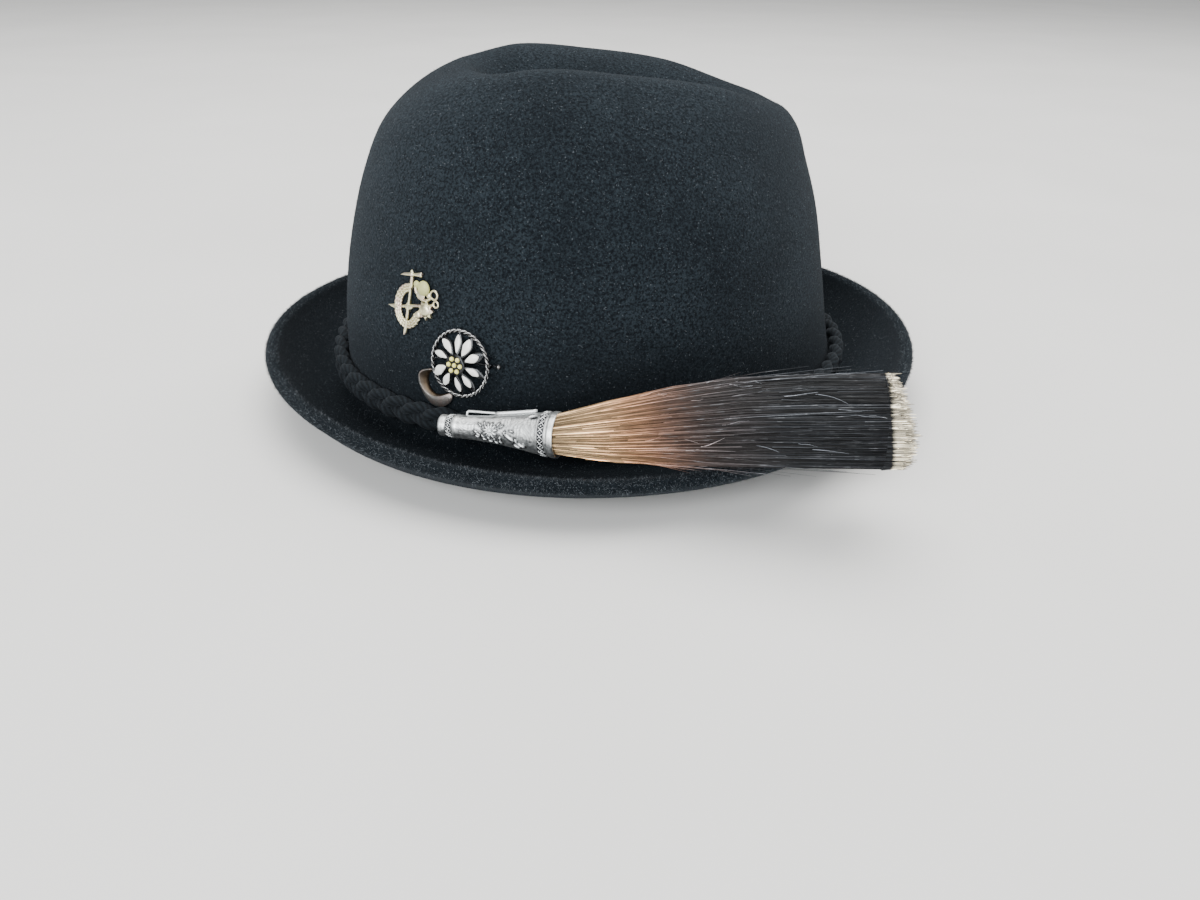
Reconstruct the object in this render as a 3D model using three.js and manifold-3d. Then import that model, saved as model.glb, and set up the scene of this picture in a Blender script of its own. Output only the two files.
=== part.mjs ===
// An Alpine hat of black velour felt with a plaited band, a hair brush in a silver ferrule and three pins.
// Millimetres, +Z up. -X is the wearer's front, -Y the decorated side. The origin is on the surface that
// the hat rests on, under the middle of its bounding box.
import * as THREE from 'three';
import { mergeVertices } from 'three/addons/utils/BufferGeometryUtils.js';
import Module from 'manifold-3d';

const wasm = await Module();
wasm.setup();

const FULL_TURN = 2 * Math.PI;
const QUARTER_TURN = Math.PI / 2;
const SPECK_VOLUME = 0.01;

// The crown's foot is the middle of everything below. This puts it in the part's own frame.
const CROWN_PLACE = new THREE.Vector3(-0.27, 11.4, 0);

// Small gap between pieces that touch on the real hat.
const SEAT_GAP = 0.3;

// Felt: wall, and the rolled lip at the edge of the brim.
const FELT_WALL = 2.6;
const LIP_THICKNESS = 5.2;
const FELT_STEPS_AROUND = 48;
const LIP_STEPS = 4;
// The underside is made quite flat where it comes this near to the surface that the hat rests on.
const FLAT_WITHIN = 0.3;
// Where the felt's rings lie: over the crown, and back along the lining, on the way from the middle of the
// top (0) to the foot (1). The lip's direction is taken from a little inside it.
const CROWN_WAYS = [0.06, 0.13, 0.19, 0.25, 0.31, 0.37, 0.44, 0.52, 0.62, 0.74, 0.87, 1];
const LINING_WAYS = [0.1, 0.2, 0.29, 0.38, 0.48, 0.6, 0.8, 1];
const INSIDE_LIP = 1.97;
// How far apart the points are that give the felt's direction, and how a height is found on the crown:
// by halving the steps between its foot and its shoulder.
const NORMAL_STEP = 0.004;
const SHOULDER_STEP = 0.75;
const HALVINGS = 40;

// Crown sections from its foot to the middle of its top, at even steps: how far up it is, as a share of
// the way to the top line, and how far it reaches to the front, to the back and to each side.
const CROWN_FOOT_Z = 14;
const CROWN_SQUARENESS = 2.15;
const CROWN_SECTIONS = [
  { rise: 0.0, front: 102.6, back: 102.6, side: 84.7 },
  { rise: 0.22, front: 101.4, back: 97.5, side: 84.5 },
  { rise: 0.44, front: 98.6, back: 93.0, side: 81.0 },
  { rise: 0.64, front: 94.0, back: 88.7, side: 74.5 },
  { rise: 0.8, front: 88.0, back: 83.5, side: 64.3 },
  { rise: 0.92, front: 79.4, back: 79.3, side: 52.2 },
  { rise: 0.985, front: 61.7, back: 70.6, side: 40.3 },
  { rise: 1.0, front: 32.7, back: 42.3, side: 19.7 },
  { rise: 1.0, front: 0.0, back: 0.0, side: 0.0 },
];

// The top line seen from the side, front to back.
const TOP_LINE = [
  { x: -100, z: 100.0 },
  { x: -75, z: 116.5 },
  { x: -50, z: 125.7 },
  { x: -25, z: 130.9 },
  { x: 5, z: 128.4 },
  { x: 35, z: 125.3 },
  { x: 65, z: 117.0 },
  { x: 100, z: 108.3 },
];

// The lengthwise dent in the top: its share of the full depth along the hat, and its half width.
const DENT_DEPTH = 23.6;
const DENT_HALF_WIDTH = 21.6;
const DENT_LINE = [
  { x: -100, share: 0.0 },
  { x: -50, share: 0.0 },
  { x: -28, share: 1.0 },
  { x: 30, share: 1.0 },
  { x: 70, share: 0.12 },
  { x: 100, share: 0.05 },
];

// The brim's upper face from the crown's foot to its lip, at even steps: how far out it is, as a share of
// the way to the lip, how high it is above the flat, and its share of the lip's rise.
const BRIM_SECTIONS = [
  { out: 0.0, above: 11.4, rise: 0.0 },
  { out: 0.0, above: 6.2, rise: 0.0 },
  { out: 0.03, above: 2.6, rise: 0.0 },
  { out: 0.09, above: 0.7, rise: 0.0 },
  { out: 0.18, above: 0.0, rise: 0.0 },
  { out: 0.3, above: 0.0, rise: 0.0 },
  { out: 0.42, above: 0.0, rise: 0.03 },
  { out: 0.56, above: 0.0, rise: 0.13 },
  { out: 0.7, above: 0.0, rise: 0.32 },
  { out: 0.83, above: 0.0, rise: 0.56 },
  { out: 0.93, above: 0.0, rise: 0.8 },
  { out: 1.0, above: 0.0, rise: 1.0 },
];
const LIP_THICKENS_FROM = 0.75;

// The middle of the lip: an ellipse that stands highest at the back and front and lowest at the sides.
const LIP = {
  middleX: 0.27,
  halfLength: 130.9,
  halfWidth: 123.6,
  height: 20.0,
  backHigher: 0.9,
  endsHigher: 2.6,
};

// Plaited band: half its thickness and height, its middle height, and the lobes of the plait round it.
const BAND = { halfThickness: 2.9, halfHeight: 4.6, middleZ: 16.4, lobes: 63, ripple: 0.45 };
const BAND_SECTION_STEPS = 6;

// Brush: the axis of the ferrule, and the line that the hair follows out of it.
const FERRULE_SMALL_END = new THREE.Vector3(-66.2, -79.4, 19.0);
const FERRULE_LARGE_END = new THREE.Vector3(-27.5, -98.0, 22.2);
const FERRULE_STEPS = 16;
const FERRULE_WALL = 0.8;
// How far each turned ring or hollow is along the ferrule, as a share of its length, and its radius.
const FERRULE_OUTSIDE = [
  { share: 0.0, radius: 3.3 },
  { share: 0.02, radius: 3.8 },
  { share: 0.05, radius: 3.8 },
  { share: 0.06, radius: 3.6 },
  { share: 0.13, radius: 3.95 },
  { share: 0.14, radius: 4.15 },
  { share: 0.16, radius: 4.2 },
  { share: 0.17, radius: 4.1 },
  { share: 0.86, radius: 7.15 },
  { share: 0.87, radius: 7.35 },
  { share: 0.955, radius: 7.6 },
  { share: 0.965, radius: 7.9 },
  { share: 1.0, radius: 7.9 },
];
const FERRULE_FLOOR_SHARE = 0.12;
// The way the ferrule's decorated side faces, before it is squared to the axis.
const FERRULE_FACING = new THREE.Vector3(-0.1, -0.86, 0.5);
const HOLE_STEPS = 10;
const FERRULE_HOLE = { share: 0.83, turn: 0.95, halfLength: 1.5, halfWidth: 0.85 };
const CAST_FLOWER = { share: 0.47, turn: -0.15, petals: 8, reach: 2.6, petalLength: 2.5, petalWidth: 0.9 };
const CAST_BELLS = [
  { share: 0.44, turn: -0.75, tilt: 1.1, length: 3.4, width: 1.4 },
  { share: 0.54, turn: -0.85, tilt: 0.9, length: 2.8, width: 1.2 },
  { share: 0.64, turn: -0.45, tilt: 1.0, length: 4.2, width: 1.5 },
  { share: 0.73, turn: -0.8, tilt: 0.5, length: 3.0, width: 1.1 },
  { share: 0.67, turn: -0.1, tilt: 1.3, length: 1.8, width: 0.7 },
];
const RELIEF_HEIGHT = 0.6;
const CLIP = {
  barrelFrom: 0.46,
  barrelTo: 0.82,
  turn: 1.6,
  barrelRadius: 0.75,
  wireRadius: 0.45,
  wireEnd: 0.25,
  barrelLift: 0.65,
  wireLiftAtBarrel: 0.9,
  wireLiftAtEnd: 1.2,
  barrelSides: 8,
  wireSides: 6,
};

const HAIR_ROOT_DEPTH = 5;
const HAIR_LINE = [
  new THREE.Vector3(1.4, -111.2, 29.9),
  new THREE.Vector3(34.6, -123.2, 36.0),
  new THREE.Vector3(76.8, -137.2, 40.4),
];
// Half height and half depth of the hair along its line.
const HAIR_SECTIONS = [
  { share: 0.0, halfHeight: 6.1, halfDepth: 6.1 },
  { share: 0.05, halfHeight: 6.6, halfDepth: 6.6 },
  { share: 0.12, halfHeight: 8.6, halfDepth: 8.0 },
  { share: 0.3, halfHeight: 11.7, halfDepth: 10.6 },
  { share: 0.5, halfHeight: 13.8, halfDepth: 12.0 },
  { share: 0.75, halfHeight: 15.0, halfDepth: 12.8 },
  { share: 1.0, halfHeight: 15.2, halfDepth: 13.0 },
];
const HAIR_LOCKS = 14;
// Across one lock, from groove to groove: how much of the groove's depth each point stands out.
const HAIR_LOCK_RIDGE = [0, 0.75, 1, 0.75];
const HAIR_GROOVE_SHARE = 0.15;
const HAIR_GROOVES_FULL_AT = 0.3;
// The end: how far the locks reach past the line's end, more and less by turns, and the flat middle.
const HAIR_TIP = { reach: 1.6, ragged: 1.0, rhythm: 2.4, middleShare: 0.55, middleReach: 1.2 };

// Brooch: where its middle sits on the crown's near side. The angle is the one that crownSkin takes.
const BROOCH_SEAT = { angle: -2.138, height: 39.5 };
// It leans on its pin: turned towards the wearer's front and tipped back, in degrees from the felt's face.
// The flower stands up from the ring: its petals slope from the boss in the middle down to the ring.
const BROOCH = {
  radius: 12.1,
  ropeRadius: 0.75,
  standOff: 3.05,
  turned: -10,
  tipped: 9,
  plateThickness: 0.7,
  plateMargin: 0.35,
  plateStart: 3.0,
  bossRadius: 3.7,
  bossSides: 12,
  bossFoot: 1.3,
  bossTop: 2.9,
  slopeTop: 2.2,
  pinRadius: 0.4,
  catchReach: 14,
  postSide: 0.8,
};
const ROPE_STEPS = 46;
const ROPE_SECTION_STEPS = 5;
const ROPE_FLATTENING = 0.3;
const ENAMEL_LIFT = 0.1;
const PETAL_START = 4.1;
const PETAL_DOME = 0.6;
const PETAL_EDGE = 0.15;
// Petals, counter-clockwise from the wearer's back: direction in degrees, reach of the tip, and width.
const PETALS = [
  { turn: 28, tip: 9.4, width: 3.0 },
  { turn: 62, tip: 10.4, width: 3.2 },
  { turn: 91, tip: 10.4, width: 2.4 },
  { turn: 126, tip: 10.4, width: 2.8 },
  { turn: 161, tip: 10.3, width: 2.5 },
  { turn: 202, tip: 10.4, width: 3.2 },
  { turn: 236, tip: 10.2, width: 2.8 },
  { turn: 276, tip: 9.6, width: 2.2 },
  { turn: 311, tip: 9.2, width: 2.5 },
  { turn: 349, tip: 9.1, width: 2.4 },
];
const SEED_RADIUS = 0.95;
const SEED_RING_RADIUS = 2.3;
const SEED_RING_COUNT = 6;
const SEED_EDGE = 0.2;
const SEED_DOME = 0.6;

// Mountain pin: its seat, the oval coil of rope, the ice axe through it and what is cast beside it.
const MOUNTAIN_SEAT = { angle: -2.37, height: 55.6 };
const MOUNTAIN = {
  thickness: 1.3,
  coilX: -1.0,
  coilY: -0.6,
  coilHalfWidth: 6.1,
  coilHalfHeight: 8.0,
  coilBand: 2.9,
  coilLean: -7,
  coilFrom: 85,
  coilTo: 345,
  steps: 18,
};
// The axe's head, from its pick under the boss to its blade and back over the top.
const AXE_HEAD = [
  { x: -4.3, y: 9.6 },
  { x: -0.6, y: 9.8 },
  { x: 1.6, y: 10.1 },
  { x: 4.5, y: 10.3 },
  { x: 4.7, y: 12.1 },
  { x: 1.6, y: 11.3 },
  { x: -0.6, y: 10.9 },
  { x: -2.8, y: 10.6 },
];
const MOUNTAIN_BARS = [
  { part: 'shaft', fromX: 0.5, fromY: 10.6, toX: 0.1, toY: 5.6, width: 1.3 },
  { part: 'shaft', fromX: 0.1, fromY: 6.0, toX: -0.7, toY: -0.4, width: 0.9 },
  { part: 'shaft', fromX: -0.8, fromY: -0.4, toX: -1.4, toY: -5.6, width: 1.1 },
  { part: 'foot', fromX: -1.4, fromY: -5.4, toX: -2.1, toY: -10.9, width: 1.3 },
  { part: 'arm', fromX: -4.6, fromY: -1.4, toX: 4.2, toY: 0.6, width: 1.2 },
  { part: 'hat brim', fromX: 2.0, fromY: 7.8, toX: 2.5, toY: 4.8, width: 1.3 },
  { part: 'hat brim', fromX: 2.3, fromY: 5.4, toX: 4.9, toY: 2.9, width: 1.3 },
  { part: 'hat brim', fromX: 4.5, fromY: 3.1, toX: 7.6, toY: 2.8, width: 1.3 },
  { part: 'loop stem', fromX: 7.0, fromY: 2.9, toX: 9.2, toY: 4.2, width: 1.2 },
  { part: 'loop stem', fromX: 8.6, fromY: 1.5, toX: 10.4, toY: 2.1, width: 1.1 },
];
// Flat pointed castings: middle, reach to each side, number of points and how deep the notches are.
const MOUNTAIN_STARS = [
  { part: 'axe middle', x: -0.9, y: -0.8, reach: 2.1, points: 4, notch: 0.9 },
  { part: 'spike', x: -7.1, y: -1.8, reach: 3.0, points: 2, notch: 2.2 },
  { part: 'flower', x: 6.8, y: -0.4, reach: 3.6, points: 9, notch: 1.2 },
];
// Round castings: middle, radius and how far each one rises above the plate.
const MOUNTAIN_DOMES = [
  { part: 'hat crown', x: 6.0, y: 7.0, radius: 2.6, rise: 1.5 },
  { part: 'hat lobe', x: 2.8, y: 7.8, radius: 1.3, rise: 0.8 },
  { part: 'hat cord', x: 4.7, y: 4.6, radius: 1.9, rise: 0.6 },
  { part: 'hat knot', x: 8.4, y: 4.9, radius: 1.0, rise: 0.7 },
  { part: 'flower', x: 6.8, y: -0.4, radius: 2.3, rise: 1.1 },
  { part: 'bud', x: 3.7, y: -2.7, radius: 1.3, rise: 0.7 },
  { part: 'axe boss', x: 0.5, y: 10.8, radius: 1.0, rise: 0.8 },
];
const MOUNTAIN_LOOPS = [
  { x: 10.2, y: 5.4, radius: 1.9, wire: 0.8 },
  { x: 11.2, y: 2.4, radius: 1.4, wire: 0.7 },
];
const LOOP_STEPS = 10;

// Crescent pin: how far out its outer and inner edges are, from the end of its thin arm to its blunt end.
const CRESCENT_SEAT = { angle: -2.262, height: 27.9 };
const CRESCENT = { middleX: 0.7, middleY: -0.1, thickness: 1.2, steps: 18, clearOfBrooch: 0.4 };
const CRESCENT_EDGES = [
  { turn: 88, outer: 7.4, inner: 5.5 },
  { turn: 115, outer: 7.5, inner: 5.2 },
  { turn: 140, outer: 8.1, inner: 4.2 },
  { turn: 165, outer: 7.3, inner: 3.3 },
  { turn: 199, outer: 6.2, inner: 2.8 },
  { turn: 231, outer: 6.5, inner: 2.7 },
  { turn: 260, outer: 7.2, inner: 2.7 },
  { turn: 286, outer: 7.5, inner: 2.8 },
  { turn: 312, outer: 7.6, inner: 3.0 },
  { turn: 338, outer: 7.9, inner: 3.6 },
  { turn: 350, outer: 7.8, inner: 4.4 },
];

// Finishes: colour, roughness and metalness.
const FINISHES = {
  felt: { color: 0x0b0c10, roughness: 0.95, metalness: 0 },
  cord: { color: 0x0c0d11, roughness: 0.85, metalness: 0 },
  hair: { color: 0x2a201b, roughness: 0.7, metalness: 0 },
  silver: { color: 0xb9bcc0, roughness: 0.35, metalness: 1 },
  darkSilver: { color: 0x6f6f70, roughness: 0.4, metalness: 1 },
  whiteEnamel: { color: 0xf2f2ee, roughness: 0.2, metalness: 0 },
  yellowEnamel: { color: 0xe2d24a, roughness: 0.25, metalness: 0 },
  paleGold: { color: 0xc9c08c, roughness: 0.35, metalness: 1 },
  tarnished: { color: 0x8d8580, roughness: 0.5, metalness: 1 },
};

// A smooth line through points that never swings past them.
function slopeBetween(before, after) {
  return before * after <= 0 ? 0 : (2 * before * after) / (before + after);
}

function through(places, values, at) {
  const last = places.length - 1;
  const place = Math.min(Math.max(at, places[0]), places[last]);
  let i = 0;
  while (i < last - 1 && place > places[i + 1]) {
    i += 1;
  }
  const rise = (k) => (values[k + 1] - values[k]) / (places[k + 1] - places[k]);
  const slopeAt = (k) => {
    if (k === 0) return rise(0);
    if (k === last) return rise(last - 1);
    return slopeBetween(rise(k - 1), rise(k));
  };
  const span = places[i + 1] - places[i];
  const t = (place - places[i]) / span;
  const fromStart = values[i] * (1 + 2 * t) * (1 - t) ** 2 + slopeAt(i) * span * t * (1 - t) ** 2;
  const fromEnd = values[i + 1] * t ** 2 * (3 - 2 * t) - slopeAt(i + 1) * span * t ** 2 * (1 - t);
  return fromStart + fromEnd;
}

function column(rows, name) {
  return rows.map((row) => row[name]);
}

function evenSteps(rows) {
  return rows.map((row, i) => i / (rows.length - 1));
}

function signedPower(value, power) {
  return Math.sign(value) * Math.abs(value) ** power;
}

// Felt surfaces

function dentDepth(x, y) {
  const share = through(column(DENT_LINE, 'x'), column(DENT_LINE, 'share'), x);
  return DENT_DEPTH * share * Math.exp(-((y / DENT_HALF_WIDTH) ** 2));
}

// The crown's outer face: angle around from the wearer's back, and step from its foot (0) to its top (1).
function crownSkin(angle, step) {
  const steps = evenSteps(CROWN_SECTIONS);
  const size = (name) => through(steps, column(CROWN_SECTIONS, name), step);
  const reach = Math.cos(angle) < 0 ? size('front') : size('back');
  const x = reach * signedPower(Math.cos(angle), 2 / CROWN_SQUARENESS);
  const y = size('side') * signedPower(Math.sin(angle), 2 / CROWN_SQUARENESS);
  const top = through(column(TOP_LINE, 'x'), column(TOP_LINE, 'z'), x) - dentDepth(x, y);
  return new THREE.Vector3(x, y, CROWN_FOOT_Z + size('rise') * (top - CROWN_FOOT_Z));
}

function lipMiddle(angle) {
  const x = LIP.middleX + LIP.halfLength * Math.cos(angle);
  const y = LIP.halfWidth * Math.sin(angle);
  const z = LIP.height + LIP.backHigher * Math.cos(angle) + LIP.endsHigher * Math.cos(2 * angle);
  return new THREE.Vector3(x, y, z);
}

// The brim's upper face: step from the crown's foot (0) to the lip (1).
function brimSkin(angle, step) {
  const steps = evenSteps(BRIM_SECTIONS);
  const size = (name) => through(steps, column(BRIM_SECTIONS, name), step);
  const foot = crownSkin(angle, 0);
  const lip = lipMiddle(angle);
  const out = size('out');
  const z = FELT_WALL + size('above') + size('rise') * (lip.z - FELT_WALL);
  return new THREE.Vector3(foot.x + out * (lip.x - foot.x), foot.y + out * (lip.y - foot.y), z);
}

// The whole upper face of the felt: way 0 is the middle of the top, 1 the crown's foot, 2 the lip.
function skin(angle, way) {
  return way <= 1 ? crownSkin(angle, 1 - way) : brimSkin(angle, Math.min(way - 1, 1));
}

function skinNormal(angle, way) {
  const h = NORMAL_STEP;
  const down = skin(angle, Math.min(way + h, 2)).sub(skin(angle, Math.max(way - h, h / 4)));
  const around = skin(angle + h, way).sub(skin(angle - h, way));
  return down.cross(around).normalize();
}

function feltThickness(way) {
  const share = Math.max(0, (way - 1 - LIP_THICKENS_FROM) / (1 - LIP_THICKENS_FROM));
  return FELT_WALL + (LIP_THICKNESS - FELT_WALL) * share ** 2;
}

function skinRing(way) {
  return ring(FELT_STEPS_AROUND, (angle) => {
    const point = skin(angle, way);
    return point.addScaledVector(skinNormal(angle, way), (feltThickness(way) - FELT_WALL) / 2);
  });
}

// The underside lies flat where the hat rests.
function liningRing(way) {
  return ring(FELT_STEPS_AROUND, (angle) => {
    const inward = -(feltThickness(way) + FELT_WALL) / 2;
    const point = skin(angle, way).addScaledVector(skinNormal(angle, way), inward);
    point.z = point.z < FLAT_WITHIN ? 0 : point.z;
    return point;
  });
}

// The lip's round edge, from the upper face over to the underside.
function lipRing(step) {
  const turn = (Math.PI * step) / LIP_STEPS;
  return ring(FELT_STEPS_AROUND, (angle) => {
    const normal = skinNormal(angle, 2);
    const along = skin(angle, 2).sub(skin(angle, INSIDE_LIP)).normalize();
    const middle = skin(angle, 2).addScaledVector(normal, -FELT_WALL / 2);
    middle.addScaledVector(normal, (Math.cos(turn) * LIP_THICKNESS) / 2);
    return middle.addScaledVector(along, (Math.sin(turn) * LIP_THICKNESS) / 2);
  });
}

// Mesh makers

function ring(count, pointAt) {
  return Array.from({ length: count }, (unused, i) => pointAt((FULL_TURN * i) / count, i));
}

// A closed body from rings of points: its ends close on a point each, or the last ring meets the first.
function bodyFromRings(rings, ends) {
  const count = rings[0].length;
  const points = rings.flat();
  const faces = [];
  const joined = ends ? rings.length - 1 : rings.length;
  for (let i = 0; i < joined; i += 1) {
    const here = i * count;
    const next = ((i + 1) % rings.length) * count;
    for (let j = 0; j < count; j += 1) {
      const k = (j + 1) % count;
      faces.push(here + j, next + j, here + k, here + k, next + j, next + k);
    }
  }
  if (ends) {
    const first = points.push(ends[0]) - 1;
    const last = points.push(ends[1]) - 1;
    const lastRing = (rings.length - 1) * count;
    for (let j = 0; j < count; j += 1) {
      const k = (j + 1) % count;
      faces.push(first, j, k, last, lastRing + k, lastRing + j);
    }
  }
  const geometry = new THREE.BufferGeometry();
  geometry.setAttribute('position', new THREE.Float32BufferAttribute(points.flatMap((p) => p.toArray()), 3));
  geometry.setIndex(faces);
  return geometry;
}

function toSolid(geometry) {
  const bare = geometry.clone();
  bare.deleteAttribute('normal');
  bare.deleteAttribute('uv');
  const merged = mergeVertices(bare, 1e-4);
  return new wasm.Manifold(
    new wasm.Mesh({
      numProp: 3,
      vertProperties: new Float32Array(merged.getAttribute('position').array),
      triVerts: new Uint32Array(merged.index.array),
    }),
  );
}

function fromSolid(solid) {
  const mesh = solid.getMesh();
  const geometry = new THREE.BufferGeometry();
  const spots = new Float32Array((mesh.vertProperties.length / mesh.numProp) * 3);
  for (let i = 0; i < spots.length / 3; i += 1) {
    for (let axis = 0; axis < 3; axis += 1) {
      spots[3 * i + axis] = mesh.vertProperties[mesh.numProp * i + axis];
    }
  }
  geometry.setAttribute('position', new THREE.BufferAttribute(spots, 3));
  geometry.setIndex(Array.from(mesh.triVerts));
  return geometry;
}

// Joins solids into one, without the specks that two almost equal faces leave between them.
function fuse(geometries) {
  const solids = geometries.map(toSolid);
  const joined = solids.slice(1).reduce((sum, solid) => sum.add(solid), solids[0]);
  const whole = joined.decompose().filter((body) => body.volume() > SPECK_VOLUME);
  return fromSolid(whole.slice(1).reduce((sum, solid) => sum.add(solid), whole[0]));
}

function cutFrom(geometry, tool) {
  return fromSolid(toSolid(geometry).subtract(toSolid(tool)));
}

function placed(geometry, matrix) {
  const copy = geometry.clone();
  copy.applyMatrix4(matrix);
  return copy;
}

// A straight round bar between two points.
function bar(from, to, radius, sides = 6) {
  const geometry = new THREE.CylinderGeometry(radius, radius, from.distanceTo(to), sides);
  const direction = to.clone().sub(from).normalize();
  geometry.applyQuaternion(new THREE.Quaternion().setFromUnitVectors(new THREE.Vector3(0, 1, 0), direction));
  const middle = from.clone().add(to).multiplyScalar(0.5);
  return geometry.translate(middle.x, middle.y, middle.z);
}

// A flat plate cut to an outline, its lower face at z = 0.
function plate(outline, thickness, holes = []) {
  const shape = new THREE.Shape(outline);
  shape.holes = holes.map((points) => new THREE.Path(points));
  return new THREE.ExtrudeGeometry(shape, { depth: thickness, bevelEnabled: false, steps: 1 });
}

function ovalOutline(halfWidth, halfHeight, steps, middle = { x: 0, y: 0 }) {
  return Array.from({ length: steps }, (unused, i) => {
    const turn = (FULL_TURN * i) / steps;
    return new THREE.Vector2(middle.x + halfWidth * Math.cos(turn), middle.y + halfHeight * Math.sin(turn));
  });
}

// A low round boss on a plate: straight sides, a sloping shoulder and a flatter cap.
const SHOULDER = { radiusShare: 0.7, riseShare: 0.75 };

function dome(middle, radius, base, rise, sides = 7) {
  const profile = [
    new THREE.Vector2(0, 0),
    new THREE.Vector2(radius, 0),
    new THREE.Vector2(radius, base),
    new THREE.Vector2(radius * SHOULDER.radiusShare, base + rise * SHOULDER.riseShare),
    new THREE.Vector2(0, base + rise),
  ];
  const geometry = new THREE.LatheGeometry(profile, sides);
  geometry.rotateX(QUARTER_TURN);
  return geometry.translate(middle.x, middle.y, 0);
}

// A flattened bead: a low-sided ball stretched along one direction.
function bead(length, width, height) {
  return new THREE.SphereGeometry(1, 6, 3).scale(length / 2, width / 2, height);
}

// Seats on the crown

// The step on the crown where its outer face is at a height.
function crownStepAt(angle, height) {
  let low = 0;
  let high = SHOULDER_STEP;
  for (let i = 0; i < HALVINGS; i += 1) {
    const middle = (low + high) / 2;
    if (crownSkin(angle, middle).z < height) {
      low = middle;
    } else {
      high = middle;
    }
  }
  return low;
}

// A frame on the crown's face: x towards the wearer's back, y up the felt, z straight out of it.
function crownFrame(seat, standOff) {
  const step = crownStepAt(seat.angle, seat.height);
  const out = skinNormal(seat.angle, 1 - step);
  const origin = crownSkin(seat.angle, step).addScaledVector(out, standOff);
  const right = new THREE.Vector3(0, 0, 1).cross(out).normalize();
  const up = out.clone().cross(right);
  return new THREE.Matrix4().makeBasis(right, up, out).setPosition(origin);
}

// Felt body

function makeFelt() {
  const brimWays = evenSteps(BRIM_SECTIONS).slice(1).map((step) => 1 + step);
  const rings = [
    ...CROWN_WAYS.map(skinRing),
    ...brimWays.map(skinRing),
    ...Array.from({ length: LIP_STEPS - 1 }, (unused, i) => lipRing(i + 1)),
    ...[...brimWays].reverse().map(liningRing),
    ...[...LINING_WAYS].reverse().map(liningRing),
  ];
  const top = crownSkin(0, 1);
  const under = top.clone().setZ(top.z - FELT_WALL);
  return bodyFromRings(rings, [top, under]);
}

// Plaited band

// One point of the plait's surface. Lobes on the upper edge fall between lobes on the lower edge.
// The six-sided section has a flat face towards the felt, a little clear of it.
function bandPoint(index, sectionTurn) {
  const angle = (FULL_TURN * index) / (2 * BAND.lobes);
  const step = crownStepAt(angle, BAND.middleZ - BAND.halfHeight / 2);
  const wall = crownSkin(angle, step);
  const out = skinNormal(angle, 1 - step).setZ(0).normalize();
  const edge = Math.cos(sectionTurn);
  const swell = (index % 2 === 0 ? 1 : -1) * Math.sign(Math.round(edge * 100)) * BAND.ripple;
  const point = wall.addScaledVector(out, BAND.halfThickness * (1 + Math.sin(sectionTurn)));
  point.z = BAND.middleZ + edge * (BAND.halfHeight + swell);
  return point;
}

function makeBand() {
  const rings = Array.from({ length: BAND_SECTION_STEPS }, (unused, i) => {
    const turn = (FULL_TURN * i) / BAND_SECTION_STEPS;
    return Array.from({ length: 2 * BAND.lobes }, (none, index) => bandPoint(index, turn));
  });
  return bodyFromRings(rings, null);
}

// Brush

// The ferrule's frame: y along its axis from the small end, z towards the viewer of the decorated side.
function ferruleFrame() {
  const along = FERRULE_LARGE_END.clone().sub(FERRULE_SMALL_END).normalize();
  const facing = FERRULE_FACING.clone();
  facing.addScaledVector(along, -facing.dot(along)).normalize();
  const side = along.clone().cross(facing);
  return new THREE.Matrix4().makeBasis(side, along, facing).setPosition(FERRULE_SMALL_END);
}

const FERRULE_LENGTH = FERRULE_LARGE_END.distanceTo(FERRULE_SMALL_END);

function ferruleRadius(share) {
  return through(column(FERRULE_OUTSIDE, 'share'), column(FERRULE_OUTSIDE, 'radius'), share);
}

// A place on the ferrule: turn is measured from the facing side, up towards the crown.
function onFerrule(share, turn, lift = 0) {
  const radius = ferruleRadius(share) + lift;
  return new THREE.Vector3(-radius * Math.sin(turn), share * FERRULE_LENGTH, radius * Math.cos(turn));
}

function relief(share, turn, tilt, length, width, offset = 0) {
  const geometry = bead(length, width, RELIEF_HEIGHT);
  geometry.translate(offset, 0, 0).rotateZ(tilt);
  const at = onFerrule(share, turn);
  geometry.rotateY(-turn);
  return geometry.translate(at.x, at.y, at.z);
}

function ferruleShell() {
  const outside = FERRULE_OUTSIDE.map((row) => new THREE.Vector2(row.radius, row.share * FERRULE_LENGTH));
  const floor = FERRULE_FLOOR_SHARE;
  const inside = [
    new THREE.Vector2(ferruleRadius(1) - FERRULE_WALL, FERRULE_LENGTH),
    new THREE.Vector2(ferruleRadius(floor) - FERRULE_WALL, floor * FERRULE_LENGTH),
    new THREE.Vector2(0, floor * FERRULE_LENGTH),
  ];
  return new THREE.LatheGeometry([new THREE.Vector2(0, 0), ...outside, ...inside], FERRULE_STEPS);
}

function ferruleClip() {
  const barrelFrom = onFerrule(CLIP.barrelFrom, CLIP.turn, CLIP.barrelLift);
  const barrelTo = onFerrule(CLIP.barrelTo, CLIP.turn, CLIP.barrelLift);
  const wireFrom = onFerrule(CLIP.barrelFrom, CLIP.turn, CLIP.wireLiftAtBarrel);
  const wireTo = onFerrule(CLIP.wireEnd, CLIP.turn, CLIP.wireLiftAtEnd);
  const wireRoot = onFerrule(CLIP.wireEnd, CLIP.turn, -FERRULE_WALL / 2);
  return [
    bar(barrelFrom, barrelTo, CLIP.barrelRadius, CLIP.barrelSides),
    bar(wireFrom, wireTo, CLIP.wireRadius, CLIP.wireSides),
    bar(wireTo, wireRoot, CLIP.wireRadius, CLIP.wireSides),
  ];
}

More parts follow.
